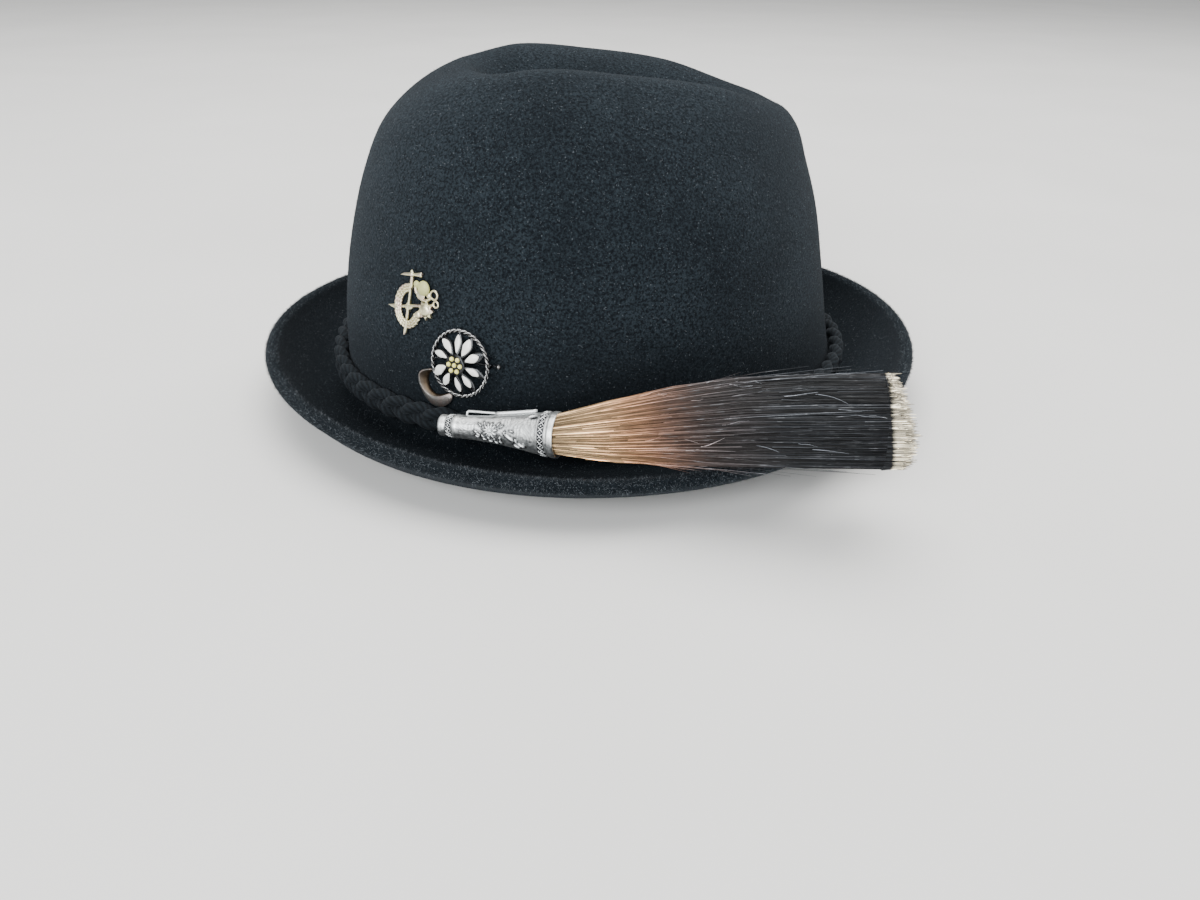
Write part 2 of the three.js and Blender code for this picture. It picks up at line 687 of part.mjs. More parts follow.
function makeFerrule() {
  const flower = Array.from({ length: CAST_FLOWER.petals }, (unused, i) => {
    const tilt = (FULL_TURN * i) / CAST_FLOWER.petals;
    const { share, turn, petalLength, petalWidth, reach } = CAST_FLOWER;
    return relief(share, turn, tilt, petalLength, petalWidth, reach / 2);
  });
  const bells = CAST_BELLS.map((row) => relief(row.share, row.turn, row.tilt, row.length, row.width));
  const joined = fuse([ferruleShell(), ...flower, ...bells, ...ferruleClip()]);
  const hole = new THREE.CylinderGeometry(1, 1, 4 * FERRULE_WALL, HOLE_STEPS).rotateX(QUARTER_TURN);
  hole.scale(FERRULE_HOLE.halfWidth, FERRULE_HOLE.halfLength, 1).rotateY(-FERRULE_HOLE.turn);
  const at = onFerrule(FERRULE_HOLE.share, FERRULE_HOLE.turn);
  hole.translate(at.x, at.y, at.z);
  return placed(cutFrom(joined, hole), ferruleFrame());
}

function hairCurve() {
  const along = FERRULE_LARGE_END.clone().sub(FERRULE_SMALL_END).normalize();
  const root = FERRULE_LARGE_END.clone().addScaledVector(along, -HAIR_ROOT_DEPTH);
  return new THREE.CatmullRomCurve3([root, FERRULE_LARGE_END, ...HAIR_LINE], false, 'centripetal');
}

// A point of the hair's outer form: share along its line, turn around it, and distance from the middle.
function hairPoint(curve, share, turn, spread) {
  const middle = curve.getPointAt(Math.min(share, 1));
  const along = curve.getTangentAt(Math.min(share, 1));
  const side = along.clone().cross(new THREE.Vector3(0, 0, 1)).normalize();
  const up = side.clone().cross(along);
  const places = column(HAIR_SECTIONS, 'share');
  const halfHeight = through(places, column(HAIR_SECTIONS, 'halfHeight'), share);
  const halfDepth = through(places, column(HAIR_SECTIONS, 'halfDepth'), share);
  middle.addScaledVector(side, spread * halfDepth * Math.cos(turn));
  return middle.addScaledVector(up, spread * halfHeight * Math.sin(turn));
}

// A ring around the hair at one section, with a ridge for each lock.
function hairRing(curve, share) {
  const along = curve.getTangentAt(1);
  const perLock = HAIR_LOCK_RIDGE.length;
  const groove = HAIR_GROOVE_SHARE * Math.min(1, share / HAIR_GROOVES_FULL_AT);
  return ring(HAIR_LOCKS * perLock, (turn, index) => {
    const ridge = HAIR_LOCK_RIDGE[index % perLock];
    const point = hairPoint(curve, share, turn, 1 - groove * (1 - ridge));
    if (share < 1) return point;
    const lock = Math.floor(index / perLock);
    const reach = HAIR_TIP.reach + HAIR_TIP.ragged * Math.sin(lock * HAIR_TIP.rhythm);
    return point.addScaledVector(along, reach * ridge);
  });
}

function makeHair() {
  const curve = hairCurve();
  const tip = curve.getTangentAt(1).multiplyScalar(HAIR_TIP.middleReach);
  const count = HAIR_LOCKS * HAIR_LOCK_RIDGE.length;
  const endMiddle = ring(count, (turn) => hairPoint(curve, 1, turn, HAIR_TIP.middleShare).add(tip));
  const rings = [...HAIR_SECTIONS.map(({ share }) => hairRing(curve, share)), endMiddle];
  return bodyFromRings(rings, [hairPoint(curve, 0, 0, 0), hairPoint(curve, 1, 0, 0).add(tip)]);
}

// Brooch

// A pointed oval from a start to its tip, widest past the middle.
const PETAL_SHAPE = [
  { along: 0.25, width: 0.62 },
  { along: 0.58, width: 1.0 },
  { along: 0.84, width: 0.66 },
];

function petalOutline(length, width, margin) {
  const half = width / 2 + margin;
  const side = PETAL_SHAPE.map((row) => new THREE.Vector2(length * row.along, -half * row.width));
  const otherSide = side.map((point) => new THREE.Vector2(point.x, -point.y)).reverse();
  return [new THREE.Vector2(-margin, 0), ...side, new THREE.Vector2(length + margin, 0), ...otherSide];
}

// Lays a petal or its plate on the flower's slope, from a reach outwards, and turns it to its place.
function onSlope(geometry, petal, reach, lift) {
  const run = BROOCH.radius - BROOCH.ropeRadius - BROOCH.plateStart;
  const slope = Math.atan2(BROOCH.slopeTop, run);
  geometry.translate(reach - BROOCH.plateStart, 0, lift).rotateY(slope);
  geometry.translate(BROOCH.plateStart, 0, BROOCH.slopeTop);
  return geometry.rotateZ(THREE.MathUtils.degToRad(petal.turn));
}

// A ring of two wires twisted round each other: an oval section that turns as it goes round.
function twistedRing() {
  const rings = Array.from({ length: ROPE_SECTION_STEPS }, (unused, i) => {
    return Array.from({ length: ROPE_STEPS }, (none, j) => {
      const turn = (FULL_TURN * j) / ROPE_STEPS;
      const section = -(FULL_TURN * i) / ROPE_SECTION_STEPS;
      const squeeze = j % 2 === 0 ? 1 : 1 - ROPE_FLATTENING;
      const r = BROOCH.radius - BROOCH.ropeRadius + BROOCH.ropeRadius * squeeze * Math.cos(section);
      const z = BROOCH.ropeRadius * squeeze * Math.sin(section);
      return new THREE.Vector3(r * Math.cos(turn), r * Math.sin(turn), z);
    });
  });
  return bodyFromRings(rings, null);
}

// The brooch's own frame: the felt's, turned about the way up it and tipped about the way across it.
function broochFrame() {
  const turned = new THREE.Matrix4().makeRotationY(THREE.MathUtils.degToRad(BROOCH.turned));
  const tipped = new THREE.Matrix4().makeRotationX(-THREE.MathUtils.degToRad(BROOCH.tipped));
  return crownFrame(BROOCH_SEAT, BROOCH.standOff).multiply(turned).multiply(tipped);
}

// The pin along the felt, with a post at each end that reaches the ring where the ring leans over it.
function broochPin() {
  const turned = THREE.MathUtils.degToRad(BROOCH.turned);
  const back = SEAT_GAP + BROOCH.pinRadius;
  const end = (BROOCH.radius - BROOCH.ropeRadius) * Math.cos(turned);
  const post = (x) => {
    const height = BROOCH.standOff - x * Math.tan(turned) - back;
    const block = new THREE.BoxGeometry(BROOCH.postSide, BROOCH.postSide, height);
    return block.translate(x, 0, back + height / 2);
  };
  const pinFrom = new THREE.Vector3(-end, 0, back);
  const pin = bar(pinFrom, new THREE.Vector3(BROOCH.catchReach, 0, back), BROOCH.pinRadius);
  return [pin, post(-end), post(end)].map((geometry) => placed(geometry, crownFrame(BROOCH_SEAT, 0)));
}

function makeBroochFrame() {
  const half = BROOCH.plateThickness / 2;
  const ringMiddle = BROOCH.radius - BROOCH.ropeRadius;
  const plates = PETALS.map((petal) => {
    const outline = petalOutline(ringMiddle - BROOCH.plateStart, petal.width, BROOCH.plateMargin);
    return onSlope(plate(outline, BROOCH.plateThickness), petal, BROOCH.plateStart, -half);
  });
  const bossHeight = BROOCH.bossTop - BROOCH.bossFoot;
  const { bossRadius, bossSides } = BROOCH;
  const boss = new THREE.CylinderGeometry(bossRadius, bossRadius, bossHeight, bossSides);
  boss.rotateX(QUARTER_TURN).translate(0, 0, (BROOCH.bossTop + BROOCH.bossFoot) / 2);
  const front = [twistedRing(), boss, ...plates].map((geometry) => placed(geometry, broochFrame()));
  return fuse([...front, ...broochPin()]);
}

// A petal of enamel: flat below, with a low ridge along its middle.
function makePetal(petal) {
  const length = petal.tip - PETAL_START;
  const rim = petalOutline(length, petal.width, 0).map((p) => new THREE.Vector3(p.x, p.y, PETAL_EDGE));
  const foot = rim.map((p) => p.clone().setZ(0));
  const below = new THREE.Vector3(length / 2, 0, 0);
  const above = below.clone().setZ(PETAL_DOME);
  const geometry = bodyFromRings([rim, foot], [above, below]);
  const lift = BROOCH.plateThickness / 2 + ENAMEL_LIFT;
  return placed(onSlope(geometry, petal, PETAL_START, lift), broochFrame());
}

function makeSeed(index) {
  const turn = (FULL_TURN * (index - 1)) / SEED_RING_COUNT;
  const reach = index === 0 ? 0 : SEED_RING_RADIUS;
  const spot = { x: reach * Math.cos(turn), y: reach * Math.sin(turn) };
  const geometry = dome(spot, SEED_RADIUS, SEED_EDGE, SEED_DOME);
  geometry.translate(0, 0, BROOCH.bossTop + ENAMEL_LIFT);
  return placed(geometry, broochFrame());
}

// Mountain pin

function flatBar(row) {
  const start = new THREE.Vector2(row.fromX, row.fromY);
  const end = new THREE.Vector2(row.toX, row.toY);
  const side = end.clone().sub(start).normalize().rotateAround(new THREE.Vector2(), QUARTER_TURN);
  side.multiplyScalar(row.width / 2);
  return [start.clone().sub(side), end.clone().sub(side), end.clone().add(side), start.clone().add(side)];
}

function starOutline(row) {
  return Array.from({ length: 2 * row.points }, (unused, i) => {
    const turn = (Math.PI * i) / row.points;
    const reach = i % 2 === 0 ? row.reach : row.reach - row.notch;
    return new THREE.Vector2(row.x + reach * Math.cos(turn), row.y + reach * Math.sin(turn));
  });
}

function loopPlate(row) {
  const hole = ovalOutline(row.radius - row.wire, row.radius - row.wire, LOOP_STEPS, row).reverse();
  return plate(ovalOutline(row.radius, row.radius, LOOP_STEPS, row), MOUNTAIN.thickness, [hole]);
}

// The coil's edge, a band's share in from its outer oval, from its top round the front to its lower back.
function coilEdge(inset) {
  const { coilX, coilY, coilHalfWidth, coilHalfHeight, coilLean, coilFrom, coilTo, steps } = MOUNTAIN;
  return Array.from({ length: steps + 1 }, (unused, i) => {
    const turn = THREE.MathUtils.degToRad(coilFrom + ((coilTo - coilFrom) * i) / steps);
    const x = (coilHalfWidth - inset) * Math.cos(turn);
    const point = new THREE.Vector2(x, (coilHalfHeight - inset) * Math.sin(turn));
    point.rotateAround(new THREE.Vector2(), THREE.MathUtils.degToRad(coilLean));
    return point.add(new THREE.Vector2(coilX, coilY));
  });
}

function makeMountainPin() {
  const { thickness, coilBand } = MOUNTAIN;
  const joined = fuse([
    plate([...coilEdge(0), ...coilEdge(coilBand).reverse()], thickness),
    plate(AXE_HEAD.map((row) => new THREE.Vector2(row.x, row.y)), thickness),
    ...MOUNTAIN_BARS.map((row) => plate(flatBar(row), thickness)),
    ...MOUNTAIN_STARS.map((row) => plate(starOutline(row), thickness)),
    ...MOUNTAIN_DOMES.map((row) => dome(row, row.radius, thickness, row.rise)),
    ...MOUNTAIN_LOOPS.map(loopPlate),
  ]);
  return placed(joined, crownFrame(MOUNTAIN_SEAT, SEAT_GAP));
}

// Crescent pin

function crescentEdge(name) {
  const turns = column(CRESCENT_EDGES, 'turn');
  const first = turns[0];
  const span = turns[turns.length - 1] - first;
  return Array.from({ length: CRESCENT.steps + 1 }, (unused, i) => {
    const degrees = first + (span * i) / CRESCENT.steps;
    const reach = through(turns, column(CRESCENT_EDGES, name), degrees);
    const turn = THREE.MathUtils.degToRad(degrees);
    const x = CRESCENT.middleX + reach * Math.cos(turn);
    return new THREE.Vector2(x, CRESCENT.middleY + reach * Math.sin(turn));
  });
}

// Both ends stop at the brooch's ring, which stands in front of them.
function makeCrescent() {
  const outline = [...crescentEdge('outer'), ...crescentEdge('inner').reverse()];
  const seated = placed(plate(outline, CRESCENT.thickness), crownFrame(CRESCENT_SEAT, SEAT_GAP));
  const reach = BROOCH.radius + CRESCENT.clearOfBrooch;
  const aroundBrooch = plate(ovalOutline(reach, reach, ROPE_STEPS), 2 * reach).translate(0, 0, -reach);
  return cutFrom(seated, placed(aroundBrooch, broochFrame()));
}

// The whole hat

const hat = new THREE.Group();
hat.position.copy(CROWN_PLACE);

function addPiece(name, geometry, finish) {
  const flat = geometry.clone();
  flat.deleteAttribute('normal');
  flat.computeVertexNormals();
  const mesh = new THREE.Mesh(flat, new THREE.MeshStandardMaterial(FINISHES[finish]));
  mesh.name = name;
  hat.add(mesh);
}

addPiece('felt_body', makeFelt(), 'felt');
addPiece('plaited_band', makeBand(), 'cord');
addPiece('brush_ferrule', makeFerrule(), 'silver');
addPiece('brush_hair', makeHair(), 'hair');
addPiece('edelweiss_frame', makeBroochFrame(), 'darkSilver');
PETALS.forEach((petal, i) => {
  addPiece(`petal_${String(i + 1).padStart(2, '0')}`, makePetal(petal), 'whiteEnamel');
});
for (let index = 0; index <= SEED_RING_COUNT; index += 1) {
  addPiece(`seed_${index + 1}`, makeSeed(index), 'yellowEnamel');
}
addPiece('mountain_pin', makeMountainPin(), 'paleGold');
addPiece('crescent_pin', makeCrescent(), 'tarnished');

export default hat;
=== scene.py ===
"""An Alpine hat of black velour felt, dressed for its photograph: felt with its nap, a plaited cord band,
a hair brush in a silver ferrule, an edelweiss brooch, a mountain pin and a crescent.

Shapes are worked out in millimetres in the hat's own frame, whose origin is the middle of the crown's
foot, and are moved to the part's frame in metres when they become a mesh.
"""

import bpy
import numpy as np
from mathutils import Matrix, Vector


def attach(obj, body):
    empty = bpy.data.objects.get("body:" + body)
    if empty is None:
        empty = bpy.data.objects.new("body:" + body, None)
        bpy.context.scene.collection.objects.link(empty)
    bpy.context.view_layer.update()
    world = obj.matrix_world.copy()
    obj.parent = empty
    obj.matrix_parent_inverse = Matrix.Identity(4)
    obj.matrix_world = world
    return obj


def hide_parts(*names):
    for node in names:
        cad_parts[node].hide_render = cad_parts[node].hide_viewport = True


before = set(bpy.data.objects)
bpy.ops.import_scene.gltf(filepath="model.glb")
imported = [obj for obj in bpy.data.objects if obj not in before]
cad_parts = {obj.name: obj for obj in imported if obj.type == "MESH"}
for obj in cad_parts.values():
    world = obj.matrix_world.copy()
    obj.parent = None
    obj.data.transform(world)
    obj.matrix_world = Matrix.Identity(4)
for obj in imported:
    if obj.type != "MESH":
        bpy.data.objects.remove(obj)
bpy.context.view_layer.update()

# A millimetre in metres, the middle of the crown's foot in the part's frame, and a full turn.
MM = 0.001
CROWN_PLACE = np.array([-0.27, 11.4, 0.0])
TAU = 2 * np.pi

# Camera: place in the hat's frame, angles in degrees and focal length as seen on a 1200 pixel wide frame.
CAMERA_PLACE = (-60.25, -356.65, 170.0)
CAMERA_YAW = 10.33
CAMERA_PITCH = 30.5
CAMERA_ROLL = 1.06
CAMERA_FOCAL_PIXELS = 892
FRAME_WIDTH_PIXELS = 1200
SENSOR_WIDTH = 36.0

# Felt: wall, rolled lip and how finely the surface is divided. Ways run from 0 at the middle of the top
# over 1 at the crown's foot to 2 at the lip, and NEAR_LIP is one just short of it. A row of rings is given
# as from, to and how many. What lies lower than FLAT_WITHIN is held flat on the floor.
FELT_WALL = 2.6
LIP_THICKNESS = 5.2
LIP_THICKENS_FROM = 0.75
NEAR_LIP = 1.97
UPPER_RINGS = ((0.03, 0.9, 76), (0.91, 2, 84))
UNDER_RINGS = ((2, 1, 50), (0.97, 0.05, 28))
FELT_STEPS_AROUND = 280
FELT_LIP_STEPS = 12
FLAT_WITHIN = 0.3

# Crown sections from its foot to the middle of its top, at even steps: rise, front, back, side.
CROWN_FOOT_Z = 14.0
CROWN_SQUARENESS = 2.15
CROWN_SECTIONS = np.array([
    (0.0, 102.6, 102.6, 84.7),
    (0.22, 101.4, 97.5, 84.5),
    (0.44, 98.6, 93.0, 81.0),
    (0.64, 94.0, 88.7, 74.5),
    (0.8, 88.0, 83.5, 64.3),
    (0.92, 79.4, 79.3, 52.2),
    (0.985, 61.7, 70.6, 40.3),
    (1.0, 32.7, 42.3, 19.7),
    (1.0, 0.0, 0.0, 0.0),
])
# The top line seen from the side, front to back: x and z.
TOP_LINE = np.array([(-100, 100.0), (-75, 116.5), (-50, 125.7), (-25, 130.9), (5, 128.4), (35, 125.3),
                     (65, 117.0), (100, 108.3)])
# The lengthwise dent: its greatest depth, its half width, and its share of the depth along x.
DENT_DEPTH = 23.6
DENT_HALF_WIDTH = 21.6
DENT_LINE = np.array([(-100, 0.0), (-50, 0.0), (-28, 1.0), (30, 1.0), (70, 0.12), (100, 0.05)])
# Brim sections from the crown's foot to the lip, at even steps: out, above, rise.
BRIM_SECTIONS = np.array([
    (0.0, 11.4, 0.0),
    (0.0, 6.2, 0.0),
    (0.03, 2.6, 0.0),
    (0.09, 0.7, 0.0),
    (0.18, 0.0, 0.0),
    (0.3, 0.0, 0.0),
    (0.42, 0.0, 0.03),
    (0.56, 0.0, 0.13),
    (0.7, 0.0, 0.32),
    (0.83, 0.0, 0.56),
    (0.93, 0.0, 0.8),
    (1.0, 0.0, 1.0),
])
LIP_MIDDLE_X = 0.27
LIP_HALF_LENGTH = 130.9
LIP_HALF_WIDTH = 123.6
LIP_HEIGHT = 20.0
LIP_BACK_HIGHER = 0.9
LIP_ENDS_HIGHER = 2.6

# Plaited band: its middle's height, how far below that it meets the crown, its half sizes and strands, and
# how often the plait turns on its way round the crown.
BAND_MIDDLE_Z = 16.4
BAND_MEETS_CROWN_BELOW = 2.3
BAND_HALF_HEIGHT = 5.0
BAND_HALF_THICKNESS = 2.9
BAND_STRANDS = 3
BAND_STRAND_RADIUS = 2.15
BAND_STRAND_SIDES = 16
BAND_TURNS = 21
BAND_STEPS = 1260
# How far a strand swings in and out and how deep the grooves between its yarns are, as shares of its radius,
# its yarns, and how often they turn while the plait turns once.
BAND_SWING = 0.42
BAND_GROOVE = 0.07
BAND_YARNS = 3
BAND_TWIST = 5.0
# Repeats of the cord's pattern along a turn of the plait and round a strand.
BAND_PATTERN = (8.0, 3.0)

# Nap: fibres on the felt, how far round the lip they stand as a share of a quarter turn to each side, and
# how deep they start in the felt.
NAP_SEED = 7
LIP_NAP = {"count": 34000, "length": 1.3, "lean": 0.9, "width": 0.12, "palest": 1.0}
CROWN_NAP = {"count": 46000, "length": 0.9, "lean": 1.2, "width": 0.12, "palest": 0.9}
LIP_NAP_SPREAD = 0.9
NAP_ROOT_DEPTH = 0.15

# Ferrule: the ends of its axis, which way its decorated side faces, its wall, where its floor lies as a
# share of its length, and its outer radius at shares of its length.
FERRULE_SMALL_END = np.array([-66.2, -79.4, 19.0])
FERRULE_LARGE_END = np.array([-27.5, -98.0, 22.2])
FERRULE_FACING = np.array([-0.1, -0.86, 0.5])
FERRULE_WALL = 0.8
FERRULE_FLOOR_SHARE = 0.12
FERRULE_OUTSIDE = np.array([
    (0.0, 3.3), (0.02, 3.8), (0.05, 3.8), (0.06, 3.6), (0.13, 3.95), (0.14, 4.15), (0.16, 4.2), (0.17, 4.1),
    (0.86, 7.15), (0.87, 7.35), (0.955, 7.6), (0.965, 7.9), (1.0, 7.9),
])
FERRULE_RINGS = 170
FERRULE_SIDES = 176
# The hammered stretch between the bands, as shares of the ferrule's length, and how deep the marks are.
HAMMERED_FROM = 0.18
HAMMERED_TO = 0.85
HAMMER_DEPTH = 0.05
FERRULE_HOLE = {"share": 0.825, "turn": 0.86, "half_length": 1.5, "half_width": 1.0, "depth": 0.7}
# Grime and painted shade: its black part's width round the castings and how far it fades beyond that, how
# soft the edges of the dark bands are, and how dark the hole is painted as shade.
GRIME_WIDTH = 0.15
GRIME_FADE = 0.75
GRIME_BAND_EDGE = 0.1
HOLE_PAINTED_SHADE = 0.97
# Each lattice: the middle as a share of the ferrule, height, diamonds round it and width of its ridges.
LATTICES = ((0.098, 2.5, 7, 0.3), (0.908, 2.5, 10, 0.36))
LATTICE_RIDGE_HEIGHT = 0.36
LATTICE_DOT = {"size": 0.6, "height": 0.34}
CAST_FLOWER = {"share": 0.47, "turn": -0.15, "petals": 11, "reach": 2.6, "length": 2.5, "width": 0.8,
               "height": 0.6, "middle": 1.3, "middle_height": 0.65}
FLOWER_SEEDS = {"count": 6, "size": 0.45, "height": 0.75, "reach": 0.42}
# Other castings on the ferrule: their height, and the share and turn of the middle, tilt, length and width.
CAST_BELL_HEIGHT = 0.65
CAST_BELLS = np.array([
    (0.64, -0.45, 1.0, 4.2, 1.4),
    (0.70, -0.62, 0.3, 2.2, 0.7),
    (0.74, -0.80, 1.2, 3.0, 0.6),
    (0.70, -0.95, 1.2, 2.6, 0.6),
    (0.60, -0.20, -0.4, 1.4, 0.6),
    (0.66, -0.05, 1.3, 1.6, 0.6),
    (0.56, -0.60, 0.2, 1.6, 0.6),
])
# A spray of small leaves beside the flower: the size of one, and the share, turn and tilt of each.
CAST_LEAF = {"length": 1.7, "width": 0.5, "height": 0.45}
CAST_LEAVES = np.array([
    (0.35, -0.30, 1.2), (0.37, -0.50, 1.0), (0.36, -0.68, 1.3), (0.41, -0.62, 0.8), (0.42, -0.85, 1.1),
    (0.46, -0.72, 0.5), (0.47, -0.95, 1.2), (0.51, -0.80, 0.3), (0.52, -1.02, 1.0), (0.56, -0.90, 0.6),
    (0.38, 0.25, 0.9), (0.42, 0.38, 0.5), (0.54, 0.30, -0.6), (0.57, 0.18, -0.9),
])
# The clip: where its barrel starts and ends, and the wire, which ends nearer the small end, bows by so much
# and sinks into the ferrule.
CLIP = {"from": 0.46, "to": 0.81, "turn": 1.6, "radius": 0.65, "lift": 0.75,
        "wire": 0.45, "end": 0.22, "bow": 0.7, "sinks": 2.4}

# Hair: how deep it starts in the ferrule, the line that it follows, and its half height and half depth at
# shares of that line.
HAIR_ROOT_DEPTH = 5.0
HAIR_LINE = np.array([(1.4, -111.2, 29.9), (34.6, -123.2, 36.0), (76.8, -137.2, 40.4)])
HAIR_SECTIONS = np.array([(0.0, 6.1, 6.1), (0.05, 6.6, 6.6), (0.12, 8.6, 8.0), (0.3, 11.7, 10.6),
                          (0.5, 13.8, 12.0), (0.75, 15.0, 12.8), (1.0, 15.2, 13.0)])
HAIR_SEED = 11
# Of each kind of hair: how many there are, the steps along one, the range of widths and of tones from dark
# to pale, how far one drifts round the brush, and how far it bends out of it.
HAIRS = {"count": 5000, "steps": 6, "width": (0.2, 0.5), "tone": (0, 1), "drift": 0.05, "bend": 0.0}
TIP_BRISTLES = {"count": 3200, "steps": 3, "width": (0.4, 0.75), "tone": (0.3, 0.95), "drift": 0.012,
                "bend": 0.0}
STRAY_HAIRS = {"count": 70, "steps": 6, "width": (0.14, 0.26), "tone": (0.7, 1.3), "drift": 0.12,
               "bend": 0.32}
CROSSING_HAIRS = {"count": 60, "steps": 6, "width": (0.12, 0.2), "tone": (0.9, 1.5), "drift": 0.1,
                  "bend": 0.02}
# Where the hairs and the bristles of the end start along the brush, and how many locks are round it.
HAIRS_FROM = 0.02
TIP_BRISTLES_FROM = 0.925
HAIR_LOCKS = 31
# The core: how far out it goes as a share of the hair's form, its grooves, its rings and its sides, and its
# low tone, which is painted shade for the gaps between the hairs.
CORE_SPREAD = 0.88
CORE_GROOVE = 0.02
CORE_RINGS = 90
CORE_SIDES = 96
CORE_PAINTED_SHADE_TONE = 0.05
# How much shorter the brush is at its end, as shares of its length: all round, and more at its upper and
# lower edges, which rounds it.
TIP_SHORTER = 0.021
TIP_UPPER_SHORTER = 0.058
TIP_LOWER_SHORTER = 0.016
# Where the ivory tips begin, and how much sooner they begin on the upper side.
TIP_FROM = 0.9425
TIP_UPPER_SOONER = 0.012

# Brooch: where it sits, as the turn round the crown and the height, how far it stands off the felt, how it
# leans, its ring of twisted wires, its plates, the boss in its middle and the catch behind it.
BROOCH_SEAT = (-2.138, 39.5)
BROOCH_STAND_OFF = 3.05
BROOCH_TURNED = np.radians(-10)
BROOCH_TIPPED = np.radians(9)
BROOCH_RADIUS = 12.1
ROPE_RADIUS = 0.75
ROPE_TWISTS = 17
PLATE_START = 3.0
PLATE_MARGIN = 0.35
PLATE_THICKNESS = 0.7
PLATE_LEAST_WIDTH = 0.16
SLOPE_TOP = 2.2
BOSS_RADIUS = 3.7
BOSS_FOOT = 1.3
BOSS_TOP = 2.9
# The boss from its foot to its top: share of its radius, and height.
BOSS_PROFILE = np.array([
    (0.7, BOSS_FOOT - 0.2), (0.98, BOSS_FOOT), (1.0, 1.6), (1.0, 2.3), (0.95, BOSS_TOP - 0.15),
    (0.86, BOSS_TOP), (0.5, BOSS_TOP),
])
CATCH_REACH = 14.0
CATCH_RADIUS = 0.4
HOOK = {"half_length": 0.7, "half_height": 0.75, "half_width": 0.55, "flatness": 0.35}
# How bright the brooch's parts are, in the order in which they are made: the two wires, the plates, the
# boss, the pin, its two posts and the hook. The wires, plates, boss and hook are rubbed as bright as this
# says; the pin and its posts behind the ring are near black as painted shade.
BROOCH_POLISH_AND_SHADE = (1.0, 1.0, 0.16, 0.10, 0.04, 0.04, 0.04, 0.9)
ENAMEL_LIFT = 0.1
PETAL_START = 4.1
PETAL_DOME = 0.6
# A petal's width along it, pointed at both ends and fullest past its middle: place, and share of its
# greatest width.
PETAL_WIDTHS = np.array([(0.0, 0.0), (0.08, 0.28), (0.25, 0.62), (0.58, 1.0), (0.84, 0.66), (0.95, 0.3),
                         (1.0, 0.0)])
# Petals, counter-clockwise from the wearer's back: direction in degrees, reach of the tip, width, and how
# many degrees the tip swings further round than the root.
PETALS = np.array([(28, 9.4, 3.0, 0), (62, 10.4, 3.2, 9), (91, 10.4, 2.4, 4), (126, 10.4, 2.8, 15),
                   (161, 10.3, 2.5, 11), (204, 11.4, 3.4, 12), (236, 10.2, 2.8, 3), (276, 9.6, 2.2, 9),
                   (311, 9.2, 2.5, -3), (349, 9.1, 2.4, -8)])
# Seeds: their radius and height, and the ring on which all but the middle one lie.
SEED_RADIUS = 0.82
SEED_HEIGHT = 0.8
SEED_RING_RADIUS = 2.3
SEED_RING_COUNT = 6

# Mountain pin: where it sits, its plate, and the rope coil, an open oval of strands.
MOUNTAIN_SEAT = (-2.37, 55.6)
MOUNTAIN_THICKNESS = 1.3
CAST_EDGE = 0.35
COIL_MIDDLE = (-1.0, -0.6)
COIL_HALF_WIDTH = 6.1
COIL_HALF_HEIGHT = 8.0
COIL_BAND = 2.9
COIL_LEAN = np.radians(-7)
COIL_FROM = np.radians(85)
COIL_TO = np.radians(345)
COIL_STRANDS = 3
COIL_TWISTS = 26
# The axe's head: how far along it, its middle line's height, and its half width there.
AXE_HEAD = np.array([(-4.3, 9.8, 0.15), (-3.2, 10.15, 0.5), (-0.6, 10.5, 0.62), (1.2, 10.75, 0.6),
                     (3.0, 11.0, 0.72), (4.6, 11.2, 0.92)])
# Bars: where each one starts and ends, and its width.
MOUNTAIN_BARS = np.array([
    (0.5, 10.6, 0.1, 5.6, 1.3),
    (0.1, 6.0, -0.7, -0.4, 0.9),
    (-0.8, -0.4, -1.4, -5.6, 1.1),
    (-1.4, -5.4, -2.1, -10.9, 1.3),
    (-4.6, -1.4, 4.2, 0.6, 1.2),
    (2.0, 7.8, 2.5, 4.8, 1.3),
    (2.3, 5.4, 4.9, 2.9, 1.3),
    (4.5, 3.1, 7.6, 2.8, 1.3),
    (7.0, 2.9, 9.2, 4.2, 1.2),
    (8.6, 1.5, 10.4, 2.1, 1.1),
])
# Domes: middle, radius, rise above the plate, and 1 for the matte ones, which are the small hat.
MOUNTAIN_DOMES = np.array([
    (6.0, 7.0, 2.6, 1.5, 1),
    (2.8, 7.8, 1.3, 0.8, 1),
    (4.7, 4.6, 1.9, 0.6, 0),
    (8.4, 4.9, 1.0, 0.7, 0),
    (6.8, -0.4, 2.3, 1.1, 0),
    (3.7, -2.7, 1.3, 0.7, 0),
    (0.5, 10.8, 1.0, 0.8, 0),
    (0.4, 11.8, 0.5, 0.4, 0),
])
# Pointed castings: middle, reach, points and how deep the notches are.
MOUNTAIN_STARS = np.array([(-0.9, -0.8, 2.1, 4, 0.9), (-7.1, -1.8, 3.0, 2, 2.2), (6.8, -0.4, 3.6, 9, 1.2)])
# Wire loops: middle, outer radius and the wire's width.
MOUNTAIN_LOOPS = np.array([(10.2, 5.4, 1.9, 0.8), (11.2, 2.4, 1.4, 0.7)])

# Crescent pin: where it sits, the middle of its bow, and by how many degrees each end stops short, to stay
# clear of the brooch's ring.
CRESCENT_SEAT = (-2.262, 27.9)
CRESCENT_MIDDLE = (0.7, -0.1)
CRESCENT_SHORTER = (12, 4)
CRESCENT_STEPS = 80
# Its edges: turn in degrees, reach of its outer edge, of its ridge and of its inner foot.
CRESCENT_EDGES = np.array([
    (88, 7.4, 6.8, 5.5),
    (115, 7.5, 7.1, 5.2),
    (140, 8.1, 7.4, 4.2),
    (165, 7.3, 6.2, 3.3),
    (199, 6.2, 4.8, 2.8),
    (231, 6.5, 3.9, 2.7),
    (260, 7.2, 3.4, 2.7),
    (286, 7.5, 3.2, 2.8),
    (312, 7.6, 3.4, 3.0),
    (338, 7.9, 4.0, 3.6),
    (350, 7.8, 4.9, 4.4),
])
CRESCENT_HEIGHT = 1.7
